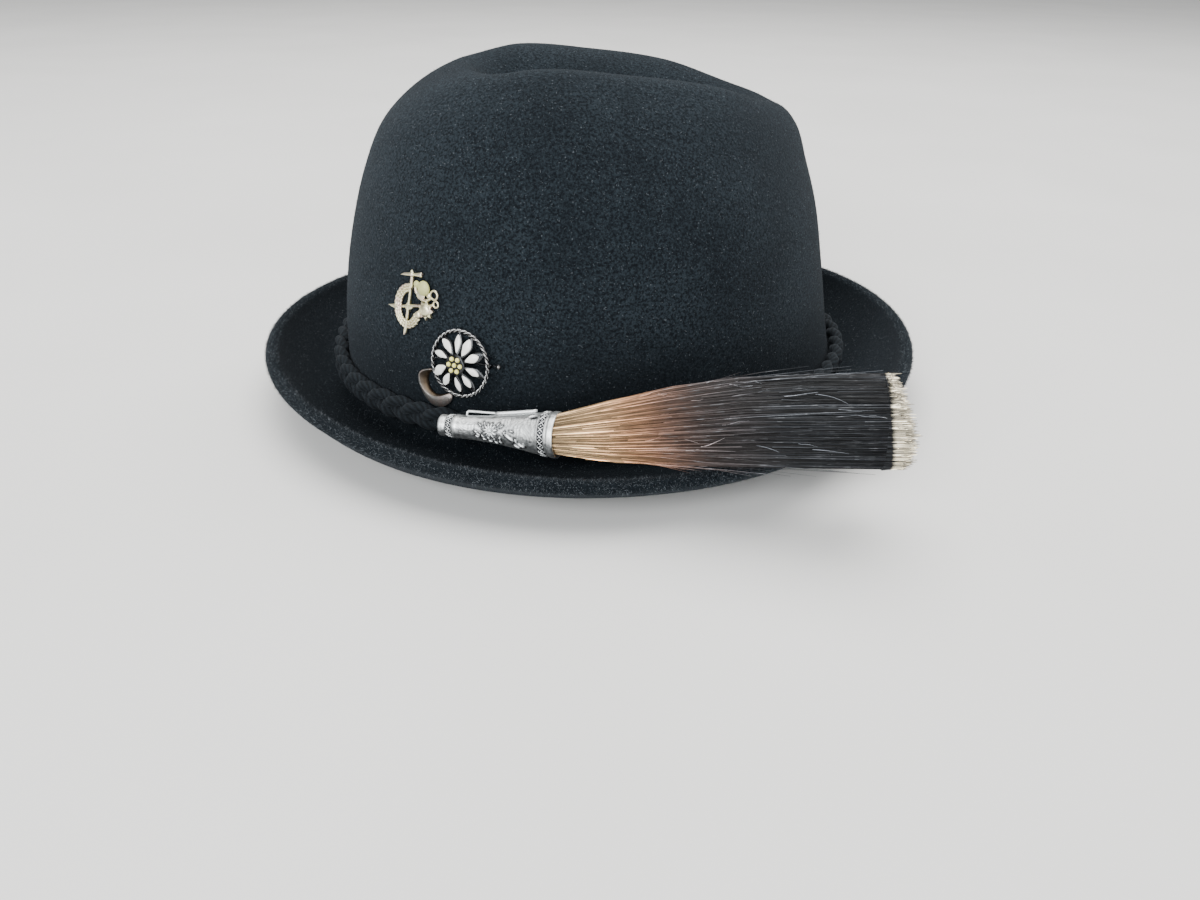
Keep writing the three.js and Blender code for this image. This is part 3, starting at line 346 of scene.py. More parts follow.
# Its section from the outer edge over the ridge to the inner foot and back below: the height as a share of
# its greatest, and how far it belongs to the hollow inner side.
CRESCENT_SECTION = np.array([(0.15, 0.0), (0.75, 0.0), (0.98, 0.0), (1.0, 0.1), (0.9, 0.8), (0.42, 1.0),
                             (0.12, 1.0), (0.0, 0.6), (0.0, 0.0)])
# Gap between the felt and the pins that lie on it.
SEAT_GAP = 0.3

# Looks: the hair's colours along the brush, the metals and the enamels. A metal's hollows are the range of
# pointiness from its dark to its bright colour, and its clouds say how strongly grime shades that.
HAIR_COLOURS = ((0.0, (0.36, 0.26, 0.15)), (0.10, (0.56, 0.39, 0.22)), (0.21, (0.50, 0.31, 0.165)),
                (0.31, (0.26, 0.135, 0.072)), (0.40, (0.095, 0.053, 0.038)), (0.50, (0.028, 0.022, 0.021)),
                (0.70, (0.0145, 0.0155, 0.0175)))
IVORY_HAIR = (0.62, 0.56, 0.43)
GREY_HAIR = (0.085, 0.088, 0.094)
SILVER = {"bright": (0.88, 0.90, 0.90), "dark": (0.02, 0.02, 0.024), "roughness": 0.42,
          "bump": 0.00006, "hollows": (0.38, 0.49), "clouds": 0.1}
DARK_SILVER = {"bright": (0.33, 0.33, 0.33), "dark": (0.022, 0.024, 0.027), "roughness": 0.18,
               "bump": 0.00012, "hollows": (0.46, 0.57), "clouds": 0.35}
WHITE_ENAMEL = {"colour": (0.90, 0.90, 0.87), "shade": (0.82, 0.81, 0.77)}
YELLOW_ENAMEL = {"colour": (0.86, 0.80, 0.30), "shade": (0.74, 0.70, 0.20)}

# Stage, in metres and watts: the floor's half size, and the lights with their places, sizes, powers and
# colours, which all aim at one place on the hat.
FLOOR_HALF_SIZE = 4.0
LIGHT_AIM = (0, 0, 0.06)
LIGHTS = (("window", (-1.25, -1.75, 1.3), (1.3, 1.3), 66, (0.97, 0.99, 1.0)),
          ("ceiling", (0.2, 0.3, 1.7), (2.0, 2.0), 62, (1.0, 0.99, 0.97)),
          ("front", (-0.2, -2.3, 0.42), (1.6, 0.7), 20, (0.95, 0.98, 1.0)))
ROOM_COLOUR = (0.86, 0.87, 0.88, 1.0)
ROOM_STRENGTH = 0.6


def through(places, values, at):
    """A smooth line through points that never swings past them: cubic pieces, whose slope at an inner
    point is the harmonic mean of the slopes beside it."""
    rise = np.diff(values) / np.diff(places)
    before, after = rise[:-1], rise[1:]
    turning = before * after <= 0
    inner = np.where(turning, 0, 2 * before * after / np.where(turning, 1, before + after))
    slopes = np.concatenate([rise[:1], inner, rise[-1:]])
    at = np.clip(at, places[0], places[-1])
    i = np.clip(np.searchsorted(places, at) - 1, 0, len(rise) - 1)
    span = np.diff(places)[i]
    t = (at - places[i]) / span
    start = values[i] * (1 + 2 * t) * (1 - t) ** 2 + slopes[i] * span * t * (1 - t) ** 2
    end = values[i + 1] * t ** 2 * (3 - 2 * t) - slopes[i + 1] * span * t ** 2 * (1 - t)
    return start + end


def unit(vectors):
    """Vectors made one long."""
    return vectors / np.maximum(np.linalg.norm(vectors, axis=-1, keepdims=True), 1e-9)


def signed_power(value, power):
    """The power of a number's size, with the number's sign."""
    return np.sign(value) * np.abs(value) ** power


def stacked(x, y, z):
    """Points from grids of coordinates, each as large as the largest of them."""
    return np.stack(np.broadcast_arrays(x, y, z), axis=-1).astype(float)


# Felt surfaces, the same formulas as the solid's

def crown_skin(angle, step):
    """Crown: a superellipse at each step, as far out as the sections say, lifted by their rise towards
    the top line less the dent, a bell curve across the hat."""
    steps = np.linspace(0, 1, len(CROWN_SECTIONS))
    rise, front, back, side = (through(steps, column, step) for column in CROWN_SECTIONS.T)
    reach = np.where(np.cos(angle) < 0, front, back)
    x = reach * signed_power(np.cos(angle), 2 / CROWN_SQUARENESS)
    y = side * signed_power(np.sin(angle), 2 / CROWN_SQUARENESS)
    share = through(DENT_LINE[:, 0], DENT_LINE[:, 1], x)
    dent = DENT_DEPTH * share * np.exp(-(y / DENT_HALF_WIDTH) ** 2)
    top = through(TOP_LINE[:, 0], TOP_LINE[:, 1], x) - dent
    return stacked(x, y, CROWN_FOOT_Z + rise * (top - CROWN_FOOT_Z))


def lip_middle(angle):
    """Lip: an ellipse whose height swings once and twice round."""
    x = LIP_MIDDLE_X + LIP_HALF_LENGTH * np.cos(angle)
    y = LIP_HALF_WIDTH * np.sin(angle)
    z = LIP_HEIGHT + LIP_BACK_HIGHER * np.cos(angle) + LIP_ENDS_HIGHER * np.cos(2 * angle)
    return stacked(x, y, z)


def brim_skin(angle, step):
    """Brim: straight lines from the crown's foot to the lip, lifted by the sections."""
    steps = np.linspace(0, 1, len(BRIM_SECTIONS))
    out, above, rise = (through(steps, column, step) for column in BRIM_SECTIONS.T)
    foot = crown_skin(angle, np.zeros_like(step))
    lip = lip_middle(angle)
    x = foot[..., 0] + out * (lip[..., 0] - foot[..., 0])
    y = foot[..., 1] + out * (lip[..., 1] - foot[..., 1])
    return stacked(x, y, FELT_WALL + above + rise * (lip[..., 2] - FELT_WALL))


def skin(angle, way):
    """Upper face of the felt: way 0 is the middle of the top, 1 the crown's foot, 2 the lip."""
    angle, way = np.broadcast_arrays(np.asarray(angle, float), np.asarray(way, float))
    on_crown = crown_skin(angle, np.clip(1 - way, 0, 1))
    on_brim = brim_skin(angle, np.clip(way - 1, 0, 1))
    return np.where((way <= 1)[..., None], on_crown, on_brim)


def skin_normal(angle, way):
    """Square to the felt's upper face, from small steps down it and round it."""
    h = 0.004
    down = skin(angle, np.minimum(way + h, 2)) - skin(angle, np.maximum(way - h, 0.001))
    around = skin(angle + h, way) - skin(angle - h, way)
    return unit(np.cross(down, around))


def felt_thickness(way):
    """The wall, and thicker near the lip with the square of the share of the way there."""
    share = np.maximum(0, (way - 1 - LIP_THICKENS_FROM) / (1 - LIP_THICKENS_FROM))
    return FELT_WALL + (LIP_THICKNESS - FELT_WALL) * share ** 2


def lip_roll(angle):
    """The middle of the lip's round section, with the directions along the felt and straight out of it."""
    edge = skin(angle, 2.0)
    normal = skin_normal(angle, 2.0)
    along = unit(edge - skin(angle, NEAR_LIP))
    return edge - normal * FELT_WALL / 2, along, normal


def crown_step_at(angle, height):
    """The step on the crown where its outer face is at a height, by halving."""
    low = np.zeros_like(np.asarray(angle, float))
    high = np.full_like(low, 0.75)
    for _ in range(40):
        middle = (low + high) / 2
        below = crown_skin(angle, middle)[..., 2] < height
        low, high = np.where(below, middle, low), np.where(below, high, middle)
    return low


def crown_frame(angle, height, stand_off):
    """A frame on the crown's face: origin, and the directions towards the wearer's back, up the felt and
    straight out of it."""
    step = crown_step_at(angle, height)
    out = skin_normal(angle, 1 - step)
    origin = crown_skin(angle, step) + out * stand_off
    right = unit(np.cross((0, 0, 1), out))
    return origin, np.array([right, np.cross(out, right), out])


def seated(points, seat):
    """Points of a frame on the crown's face, in the hat's frame."""
    origin, axes = seat
    return origin + points @ axes


# Meshes

def grid_faces(rows, columns, wrap_rows=False):
    """Quads over a grid of points whose columns close on themselves, with their corners' places on the grid
    before it closes."""
    i, j = np.meshgrid(np.arange(rows if wrap_rows else rows - 1), np.arange(columns), indexing="ij")
    corners = [(i, j), (i + 1, j), (i + 1, j + 1), (i, j + 1)]
    faces = np.stack([(a % rows) * columns + b % columns for a, b in corners], axis=-1).reshape(-1, 4)
    places = np.stack([np.stack([a, b], axis=-1) for a, b in corners], axis=2).reshape(-1, 4, 2)
    return faces, places


def volume(points, groups):
    """Six times the signed volume inside the faces, as a fan from each face's first corner."""
    total = 0.0
    for faces in groups:
        a = points[faces[:, 0]]
        for k in range(1, faces.shape[1] - 1):
            total += np.einsum("ij,ij->", a, np.cross(points[faces[:, k]], points[faces[:, k + 1]]))
    return total


def inside_out(points, groups):
    """Whether the faces point into what they enclose."""
    return volume(points - points.mean(0), groups) < 0


def in_scene(name, data):
    """A new object in the scene."""
    thing = bpy.data.objects.new(name, data)
    bpy.context.scene.collection.objects.link(thing)
    return thing


def make_piece(name, points, groups, slot, material, corner_uv=None, smooth=True, values=None):
    """A mesh object from points in millimetres and groups of faces, each group an array with one row of
    corners for a face. Faces are turned to point outwards. corner_uv follows the corners of all groups."""
    points = np.asarray(points, float).reshape(-1, 3)
    if inside_out(points, groups):
        groups = [faces[:, ::-1] for faces in groups]
        if corner_uv is not None:
            corner_uv = [uv[:, ::-1] for uv in corner_uv]
    mesh = bpy.data.meshes.new(name)
    mesh.vertices.add(len(points))
    mesh.vertices.foreach_set("co", ((points + CROWN_PLACE) * MM).astype(np.float32).ravel())
    sizes = np.concatenate([np.full(len(faces), faces.shape[1]) for faces in groups])
    corners = np.concatenate([faces.ravel() for faces in groups])
    mesh.loops.add(len(corners))
    mesh.loops.foreach_set("vertex_index", corners.astype(np.int32))
    mesh.polygons.add(len(sizes))
    starts = np.concatenate([[0], np.cumsum(sizes)[:-1]])
    mesh.polygons.foreach_set("loop_start", starts.astype(np.int32))
    mesh.polygons.foreach_set("loop_total", sizes.astype(np.int32))
    mesh.update(calc_edges=True)
    if corner_uv is not None:
        layer = mesh.uv_layers.new(name="along")
        flat = np.concatenate([uv.reshape(-1, 2) for uv in corner_uv])
        layer.data.foreach_set("uv", flat.astype(np.float32).ravel())
    for key, numbers in (values or {}).items():
        held = mesh.attributes.new(key, "FLOAT", "POINT")
        held.data.foreach_set("value", np.asarray(numbers, np.float32).ravel())
    mesh.polygons.foreach_set("use_smooth", np.full(len(sizes), smooth))
    mesh.materials.append(material)
    mesh.validate()
    piece = in_scene(name, mesh)
    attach(piece, "root")
    return piece


def tube_points(path, radius, sides, reference):
    """Rings round lines: path is (..., steps, 3), radius is (..., steps) or (..., steps, sides), and each
    ring stands square to its line, starting at the side that the reference direction gives."""
    tangent = unit(np.gradient(path, axis=-2))
    side = unit(np.cross(tangent, reference))
    up = np.cross(side, tangent)
    turn = TAU * np.arange(sides) / sides
    radius = radius if np.ndim(radius) == path.ndim and np.shape(radius)[-1] == sides else radius[..., None]
    radius = np.broadcast_to(radius, path.shape[:-1] + (sides,))[..., None]
    spokes = side[..., None, :] * np.cos(turn)[:, None] + up[..., None, :] * np.sin(turn)[:, None]
    return path[..., None, :] + radius * spokes


# Bodies made of rings

def outward(points, groups):
    """Faces turned so that they point out of what they enclose."""
    if inside_out(points, groups):
        groups = [faces[:, ::-1] for faces in groups]
    return points, groups


def tubes(rings, ends):
    """Closed bodies from rings of points (items, steps, around, 3), with an end point each (items, 2, 3)."""
    items, steps, around = rings.shape[:3]
    faces, _ = grid_faces(steps, around)
    j = np.arange(around)
    k = (j + 1) % around
    first, last = steps * around, steps * around + 1
    start = np.stack([np.full(around, first), j, k], axis=-1)
    end = np.stack([np.full(around, last), (steps - 1) * around + k, (steps - 1) * around + j], axis=-1)
    points = np.concatenate([rings.reshape(items, -1, 3), ends], axis=1)
    shift = (points.shape[1] * np.arange(items))[:, None, None]
    groups = [(faces + shift).reshape(-1, 4), (np.concatenate([start, end]) + shift).reshape(-1, 3)]
    return outward(points.reshape(-1, 3), groups)


def hoops(rings):
    """Closed bodies whose last ring meets their first: rings (items, steps, around, 3)."""
    items, steps, around = rings.shape[:3]
    faces, _ = grid_faces(steps, around, wrap_rows=True)
    shift = (steps * around * np.arange(items))[:, None, None]
    return outward(rings.reshape(-1, 3), [(faces + shift).reshape(-1, 4)])


def closed_tube(path, radius):
    """A round wire along a line that ends where it starts."""
    closed = np.concatenate([path[-1:], path, path[:1]])
    rings = tube_points(closed, np.full(len(closed), radius), 10, (0, 0, 1))[1:-1]
    return hoops(rings[None])


def joined(parts):
    """Points and groups of several bodies as one."""
    shifts = np.cumsum([0] + [len(points) for points, _ in parts])
    groups = [faces + shift for (_, groups), shift in zip(parts, shifts) for faces in groups]
    return np.concatenate([points for points, _ in parts]), groups


def lofts(path, side, up, half_widths, half_heights, around, below=1.0):
    """Bodies with oval sections along lines: path, side and up are (items, steps, 3) and the halves are
    (items, steps). Under the line a section is lower by the share below."""
    turn = TAU * np.arange(around) / around
    rise = np.where(np.sin(turn) < 0, below, 1.0) * np.sin(turn)
    across = np.asarray(half_widths)[..., None, None] * np.cos(turn)[:, None] * side[..., None, :]
    high = np.asarray(half_heights)[..., None, None] * rise[:, None] * up[..., None, :]
    return tubes(path[..., None, :] + across + high, np.stack([path[:, 0], path[:, -1]], axis=1))


def flat_lines(starts, ends, steps, height):
    """Straight lines in the plane of a seat, with their side and up directions, for lofts."""
    starts, ends = np.atleast_2d(starts), np.atleast_2d(ends)
    share = np.linspace(0, 1, steps)[:, None]
    line = starts[:, None] + (ends - starts)[:, None] * share
    path = np.concatenate([line, np.full(line.shape[:2] + (1,), height)], axis=-1)
    along = unit(ends - starts)
    side = np.repeat(np.stack([-along[:, 1], along[:, 0], 0 * along[:, 0]], axis=-1)[:, None], steps, axis=1)
    return path, side, np.broadcast_to((0.0, 0.0, 1.0), path.shape)


def rounded_ends(steps, power):
    """Widths along a body whose ends are round, from 0 to 1 and back: a power of one less the fourth power
    of the way from its middle."""
    share = np.linspace(-1, 1, steps)
    return np.clip(1 - np.abs(share) ** 4, 0, 1) ** power


# Materials

def new_material(name):
    """A material and its node tree."""
    material = bpy.data.materials.new(name)
    material.use_nodes = True
    return material, material.node_tree


def fill(tree, node, inputs):
    """Sets a node's inputs to numbers or joins them to other sockets."""
    for key, value in inputs.items():
        if isinstance(value, bpy.types.NodeSocket):
            tree.links.new(value, node.inputs[key])
        else:
            node.inputs[key].default_value = value


def shaded(material, inputs):
    """The material, with these inputs of its Principled shader filled."""
    fill(material.node_tree, material.node_tree.nodes["Principled BSDF"], inputs)
    return material


def add(tree, kind, inputs=None, **settings):
    """A node with its settings and inputs."""
    node = tree.nodes.new(kind)
    for key, value in settings.items():
        setattr(node, key, value)
    fill(tree, node, inputs or {})
    return node


def object_coordinates(tree):
    """Places on the piece, in metres."""
    return add(tree, "ShaderNodeTexCoord").outputs["Object"]


def attribute(tree, name):
    """A number that the mesh holds at its points."""
    return add(tree, "ShaderNodeAttribute", attribute_name=name).outputs["Fac"]


def pointiness(tree):
    """Under a half where the surface is hollow, and over it where it stands out."""
    return add(tree, "ShaderNodeNewGeometry").outputs["Pointiness"]


def noise(tree, scale, detail=3.0, roughness=0.5, vector=None):
    """Cloudy numbers between 0 and 1 over a vector, or else over places on the piece."""
    node = add(tree, "ShaderNodeTexNoise", {"Vector": vector or object_coordinates(tree), "Scale": scale,
                                            "Detail": detail, "Roughness": roughness})
    return node.outputs["Fac"]


def between(tree, factor, low, high, to_low=0.0, to_high=1.0):
    """A number stretched from one range to another and held at its ends."""
    node = add(tree, "ShaderNodeMapRange", {"Value": factor, "From Min": low, "From Max": high,
                                            "To Min": to_low, "To Max": to_high})
    return node.outputs["Result"]


def mixed(tree, factor, first, second, blend="MIX"):
    """The first colour where the factor is 0, the second where it is 1."""
    first, second = (colour if isinstance(colour, bpy.types.NodeSocket) else (*colour, 1.0)
                     for colour in (first, second))
    node = add(tree, "ShaderNodeMix", {"Factor": factor, 6: first, 7: second}, data_type="RGBA",
               blend_type=blend)
    return node.outputs[2]


def combined(tree, operation, first, second):
    """Two numbers put together by a named operation."""
    node = add(tree, "ShaderNodeMath", {0: first, 1: second}, operation=operation)
    return node.outputs["Value"]


def times(tree, first, second):
    """The first number times the second."""
    return combined(tree, "MULTIPLY", first, second)


def plus(tree, first, second):
    """The first number plus the second."""
    return combined(tree, "ADD", first, second)


def brightened(tree, colour, factor):
    """A colour times a number."""
    grey = add(tree, "ShaderNodeCombineColor", {"Red": factor, "Green": factor, "Blue": factor})
    return mixed(tree, 1.0, colour, grey.outputs["Color"], "MULTIPLY")


def sheen(weight, roughness):
    """Inputs for a faint bluish bloom, as on wool seen from the side."""
    return {"Sheen Weight": weight, "Sheen Roughness": roughness, "Sheen Tint": (0.62, 0.70, 0.80, 1.0)}


def bumped(tree, height, distance, strength):
    """Normals of a surface that is uneven by so many metres."""
    return add(tree, "ShaderNodeBump", {"Height": height, "Distance": distance,
                                        "Strength": strength}).outputs["Normal"]


def felt_material():
    """Black velour: a dense dark nap with a fine pale grain, cloudy where it has been brushed, with specks
    of pale lint caught in it, and painted shade that makes it deeper black low down."""
    material, tree = new_material("black_velour_felt")
    nap = noise(tree, 1150, detail=3, roughness=0.75)
    cloud = noise(tree, 26, detail=3, roughness=0.55)
    lint = between(tree, noise(tree, 1500, detail=1, roughness=0.4), 0.71, 0.75)
    brushed = between(tree, cloud, 0.36, 0.64, 0.75, 1.3)
    height = add(tree, "ShaderNodeSeparateXYZ", {"Vector": object_coordinates(tree)}).outputs["Z"]
    # Painted shade: the felt is darker low down, at 0.3 of its colour below 20 mm and full above 50 mm.
    wear_and_painted_shade = between(tree, height, 0.020, 0.050, 0.3, 1.0)
    shade = times(tree, between(tree, nap, 0.40, 0.66), times(tree, brushed, wear_and_painted_shade))
    felt = mixed(tree, shade, (0.0016, 0.0030, 0.0044), (0.0165, 0.0230, 0.0285))
    colour = mixed(tree, times(tree, lint, 0.4), felt, (0.12, 0.135, 0.15))
    return shaded(material, {"Base Color": colour, "Roughness": 1.0, "Specular IOR Level": 0.08,
                             "Normal": bumped(tree, nap, 0.0005, 0.9), **sheen(0.05, 0.6)})


def fibre_material():
    """Single nap fibres, a little greyer than the felt that they stand on."""
    material, tree = new_material("nap_fibre")
    colour = mixed(tree, attribute(tree, "shade"), (0.005, 0.008, 0.011), (0.17, 0.19, 0.21))
    return shaded(material, {"Base Color": colour, "Roughness": 0.75, "Specular IOR Level": 0.2})


def cord_material():
    """Black wool cord: twisted yarns whose pitch follows each strand, with a fuzzy bump."""
    material, tree = new_material("black_wool_cord")
    fuzz = noise(tree, 1900, detail=4, roughness=0.75)
    along = add(tree, "ShaderNodeUVMap", uv_map="along").outputs["UV"]
    lay = add(tree, "ShaderNodeTexWave", {"Vector": along, "Scale": 1.0, "Distortion": 0.8, "Detail": 1.0},
              wave_type="BANDS", bands_direction="DIAGONAL").outputs["Fac"]
    height = plus(tree, times(tree, fuzz, 0.75), times(tree, lay, 0.25))
    shade = between(tree, height, 0.35, 0.72)
    colour = mixed(tree, shade, (0.0020, 0.0030, 0.0042), (0.012, 0.016, 0.020))
    return shaded(material, {"Base Color": colour, "Roughness": 0.9, "Specular IOR Level": 0.2,
                             "Normal": bumped(tree, height, 0.0003, 0.7), **sheen(0.05, 0.5)})


# Felt

def felt_body(material):
    """The felt's whole surface as rings: out over the crown and brim, round the lip's edge and back along
    the underside, which is the upper face moved inwards by the thickness and held flat on the floor."""
    angle = TAU * np.arange(FELT_STEPS_AROUND) / FELT_STEPS_AROUND
    way = np.concatenate([np.linspace(*row) for row in UPPER_RINGS])[:, None]
    lift = (felt_thickness(way) - FELT_WALL) / 2
    upper = skin(angle, way) + skin_normal(angle, way) * lift[..., None]
    way = np.concatenate([np.linspace(*row) for row in UNDER_RINGS])[:-1, None]
    sink = (felt_thickness(way) + FELT_WALL) / 2
    under = skin(angle, way) - skin_normal(angle, way) * sink[..., None]
    under[..., 2] = np.where(under[..., 2] < FLAT_WITHIN, 0, under[..., 2])
    turn = (np.pi * np.arange(1, FELT_LIP_STEPS) / FELT_LIP_STEPS)[:, None, None]
    middle, along, normal = lip_roll(angle)
    lip = middle + (np.cos(turn) * normal + np.sin(turn) * along) * LIP_THICKNESS / 2
    top = crown_skin(np.array(0.0), np.array(1.0))
    ends = np.array([[top, top - (0, 0, FELT_WALL)]])
    points, groups = tubes(np.concatenate([upper, lip, under])[None], ends)
    piece = make_piece("felt", points, groups, "felt", material)
    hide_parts("felt_body")


def fibres(name, roots, normals, nap, material, seed):
    """Nap fibres as thin three-sided spikes: each stands on a root and leans along the felt in a random
    direction by a random share of its length. Most are dark, because their shade is a fourth power."""
    draw = np.random.default_rng(seed)
    count = len(roots)
    side = unit(np.cross(normals, draw.normal(size=(count, 3))))
    other = np.cross(normals, side)
    long = (nap["length"] * draw.uniform(0.45, 1.0, count))[:, None]
    tip = roots + normals * long * draw.uniform(0.35, 1.0, count)[:, None] + side * long * nap["lean"]
    foot = roots - normals * NAP_ROOT_DEPTH
    half = nap["width"] / 2
    corners = [foot + other * half, foot - other * half, foot + side * half, tip]
    points = np.stack(corners, axis=1).reshape(-1, 3)
    start = 4 * np.arange(count)[:, None]
    spike = ((0, 1, 3), (1, 2, 3), (2, 0, 3), (0, 2, 1))
    faces = np.concatenate([start + np.array(face) for face in spike])
    shade = np.repeat(draw.uniform(0, 1, count) ** 4 * nap["palest"], len(corners))
    make_piece(name, points, [faces], "felt", material, smooth=False, values={"shade": shade})


# Plaited band

def plaited_band(material):
    """Three strands round the crown's foot. A strand swings up and down once a turn of the plait and in and
    out twice, which weaves it over and under the others. Its section is three yarns twisted together."""
    angle = TAU * np.arange(BAND_STEPS) / BAND_STEPS
    step = crown_step_at(angle, BAND_MIDDLE_Z - BAND_MEETS_CROWN_BELOW)
    wall = crown_skin(angle, step)
    normal = skin_normal(angle, 1 - step)
    normal[:, 2] = 0
    out = unit(normal)
    strand = TAU * np.arange(BAND_STRANDS)[:, None] / BAND_STRANDS
    phase = BAND_TURNS * angle + strand
    swing = (BAND_HALF_HEIGHT - BAND_STRAND_RADIUS) * np.sin(phase)
    depth = BAND_SWING * BAND_STRAND_RADIUS * np.sin(2 * phase) + BAND_HALF_THICKNESS
    path = wall + out * depth[..., None]
    path[..., 2] = BAND_MIDDLE_Z + swing
    sides = BAND_STRAND_SIDES
    turn = TAU * np.arange(sides) / sides
    yarns = np.cos(BAND_YARNS * turn + BAND_TWIST * phase[..., None])
    radius = BAND_STRAND_RADIUS * (1 - BAND_GROOVE + BAND_GROOVE * yarns)
    closed = np.concatenate([path[:, -1:], path, path[:, :1]], axis=1)
    closed_radius = np.concatenate([radius[:, -1:], radius, radius[:, :1]], axis=1)
    points = tube_points(closed, closed_radius, sides, np.concatenate([out[-1:], out, out[:1]]))[:, 1:-1]
    faces, places = grid_faces(BAND_STEPS, sides, wrap_rows=True)
    groups = [np.concatenate([faces + number * BAND_STEPS * sides for number in range(BAND_STRANDS)])]
    uv = places * np.array([BAND_TURNS * BAND_PATTERN[0] / BAND_STEPS, BAND_PATTERN[1] / sides])
    corner_uv = [np.concatenate([uv] * BAND_STRANDS)]
    piece = make_piece("band", points, groups, "cord", material, corner_uv=corner_uv)
    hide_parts("plaited_band")


# Ferrule

def ferrule_axes():
    """The ferrule's own directions: across its face, along it and out of its decorated side."""
    along = unit(FERRULE_LARGE_END - FERRULE_SMALL_END)
    facing = unit(FERRULE_FACING - along * (FERRULE_FACING @ along))
    return np.array([np.cross(along, facing), along, facing])


def ferrule_length():
    """How long the ferrule is between the ends of its axis."""
    return np.linalg.norm(FERRULE_LARGE_END - FERRULE_SMALL_END)


def on_ferrule(share, turn, lift=0.0):
    """A place on the ferrule: turn is measured from the facing side, up towards the crown."""
    radius = through(FERRULE_OUTSIDE[:, 0], FERRULE_OUTSIDE[:, 1], share) + lift
    place = stacked(-radius * np.sin(turn), share * ferrule_length(), radius * np.cos(turn))
    return FERRULE_SMALL_END + place @ ferrule_axes()


def ferrule_out(turn):
    """The direction straight out of the ferrule's axis at a turn round it."""
    return stacked(-np.sin(turn), 0 * turn, np.cos(turn)) @ ferrule_axes()


def relief(share, turn, tilt, length, width, height, offset=0.0, steps=7, around=10):
    """Castings on the ferrule as ovals that lie along a direction tilted from its girth."""
    share, turn, tilt, length, width, offset = np.broadcast_arrays(
        *(np.atleast_1d(np.asarray(v, float)) for v in (share, turn, tilt, length, width, offset)))
    places = np.linspace(-1, 1, steps) * 0.98
    far = offset[:, None] + places * length[:, None] / 2
    radius = through(FERRULE_OUTSIDE[:, 0], FERRULE_OUTSIDE[:, 1], share)[:, None]
    turns = turn[:, None] - far * np.cos(tilt)[:, None] / radius
    shares = share[:, None] + far * np.sin(tilt)[:, None] / ferrule_length()
    path = on_ferrule(shares, turns)
    up = ferrule_out(turns)
    side = unit(np.cross(up, np.gradient(path, axis=1)))
    full = np.sqrt(1 - places ** 2)
    return lofts(path, side, up, width[:, None] / 2 * full, height * full, around)


def hole_pocket(share, turn):
    """One inside the oval hole by the clip and nothing outside it, with a soft edge."""
    hole = FERRULE_HOLE
    radius = through(FERRULE_OUTSIDE[:, 0], FERRULE_OUTSIDE[:, 1], share)
    far = np.hypot((share - hole["share"]) * ferrule_length() / hole["half_length"],
                   (turn - hole["turn"]) * radius / hole["half_width"])
    return 1 / (1 + np.exp((far - 1) * 14))


def ferrule_shell():
    """The cone with its turned rings, lightly hammered between the bands: low bumps from crossing waves.
    It has a pocket where the oval hole is, a rounded mouth and an inner wall down to its floor, which lies
    deeper behind the mouth to stay clear of the pocket. Gives its rings' shares and outer points too."""
    share = np.linspace(0.004, 0.997, FERRULE_RINGS)[:, None]
    turn = TAU * np.arange(FERRULE_SIDES)[None, :] / FERRULE_SIDES
    waves = np.sin(turn * 17 + 5 * np.sin(share * 31)) * np.sin(share * 96 + 4 * np.sin(turn * 5))
    body = np.clip((share - HAMMERED_FROM) * 60, 0, 1) * np.clip((HAMMERED_TO - share) * 60, 0, 1)
    pocket = FERRULE_HOLE["depth"] * hole_pocket(share, turn)
    outer = on_ferrule(share, turn, HAMMER_DEPTH * waves * body - pocket)
    bend = np.pi * np.arange(1, 6)[:, None] / 6
    half = FERRULE_WALL / 2
    rim = on_ferrule(1 + 0 * bend, turn, half * (np.cos(bend) - 1))
    rim = rim + unit(FERRULE_LARGE_END - FERRULE_SMALL_END) * (half * np.sin(bend))[..., None]
    inside = np.linspace(0.995, FERRULE_FLOOR_SHARE, 12)[:, None]
    deeper = FERRULE_HOLE["depth"] * np.clip((1 - inside) * 20, 0, 1)
    inner = on_ferrule(inside, turn, -FERRULE_WALL - deeper)
    rings = np.concatenate([outer, rim, inner])[None]
    floor = FERRULE_SMALL_END + (FERRULE_LARGE_END - FERRULE_SMALL_END) * FERRULE_FLOOR_SHARE
    return tubes(rings, np.array([[FERRULE_SMALL_END, floor]])), share, outer


def ferrule_polish_and_shade(count, share, outer, castings):
    """How bright the shell is at its points: dark in the lattice bands, and round the castings where grime
    has gathered, near black in the oval hole as painted shade, and polished elsewhere."""
    spots = np.concatenate([points for points, _ in castings])[::3]
    outer = outer.reshape(-1, 3)
    near = np.full(len(outer), np.inf)
    for some in np.array_split(spots, 12):
        near = np.minimum(near, np.linalg.norm(outer[:, None] - some[None], axis=-1).min(1))
    polish_and_shade = np.clip((near - GRIME_WIDTH) / GRIME_FADE, 0, 1)
    band = np.zeros_like(share)
    for middle, height, _, _ in LATTICES:
        edge = (np.abs(share - middle) * ferrule_length() - height / 2) / GRIME_BAND_EDGE
        band = np.maximum(band, 1 / (1 + np.exp(edge)))
    around = len(outer) // len(share)
    polish_and_shade *= 1 - np.broadcast_to(band, (len(share), around)).ravel()
    turn = TAU * np.arange(around)[None, :] / around
    # Painted shade: the oval hole is made near black.
    polish_and_shade *= 1 - HOLE_PAINTED_SHADE * hole_pocket(share, turn).ravel()
    return np.concatenate([polish_and_shade, np.ones(count - len(polish_and_shade))])


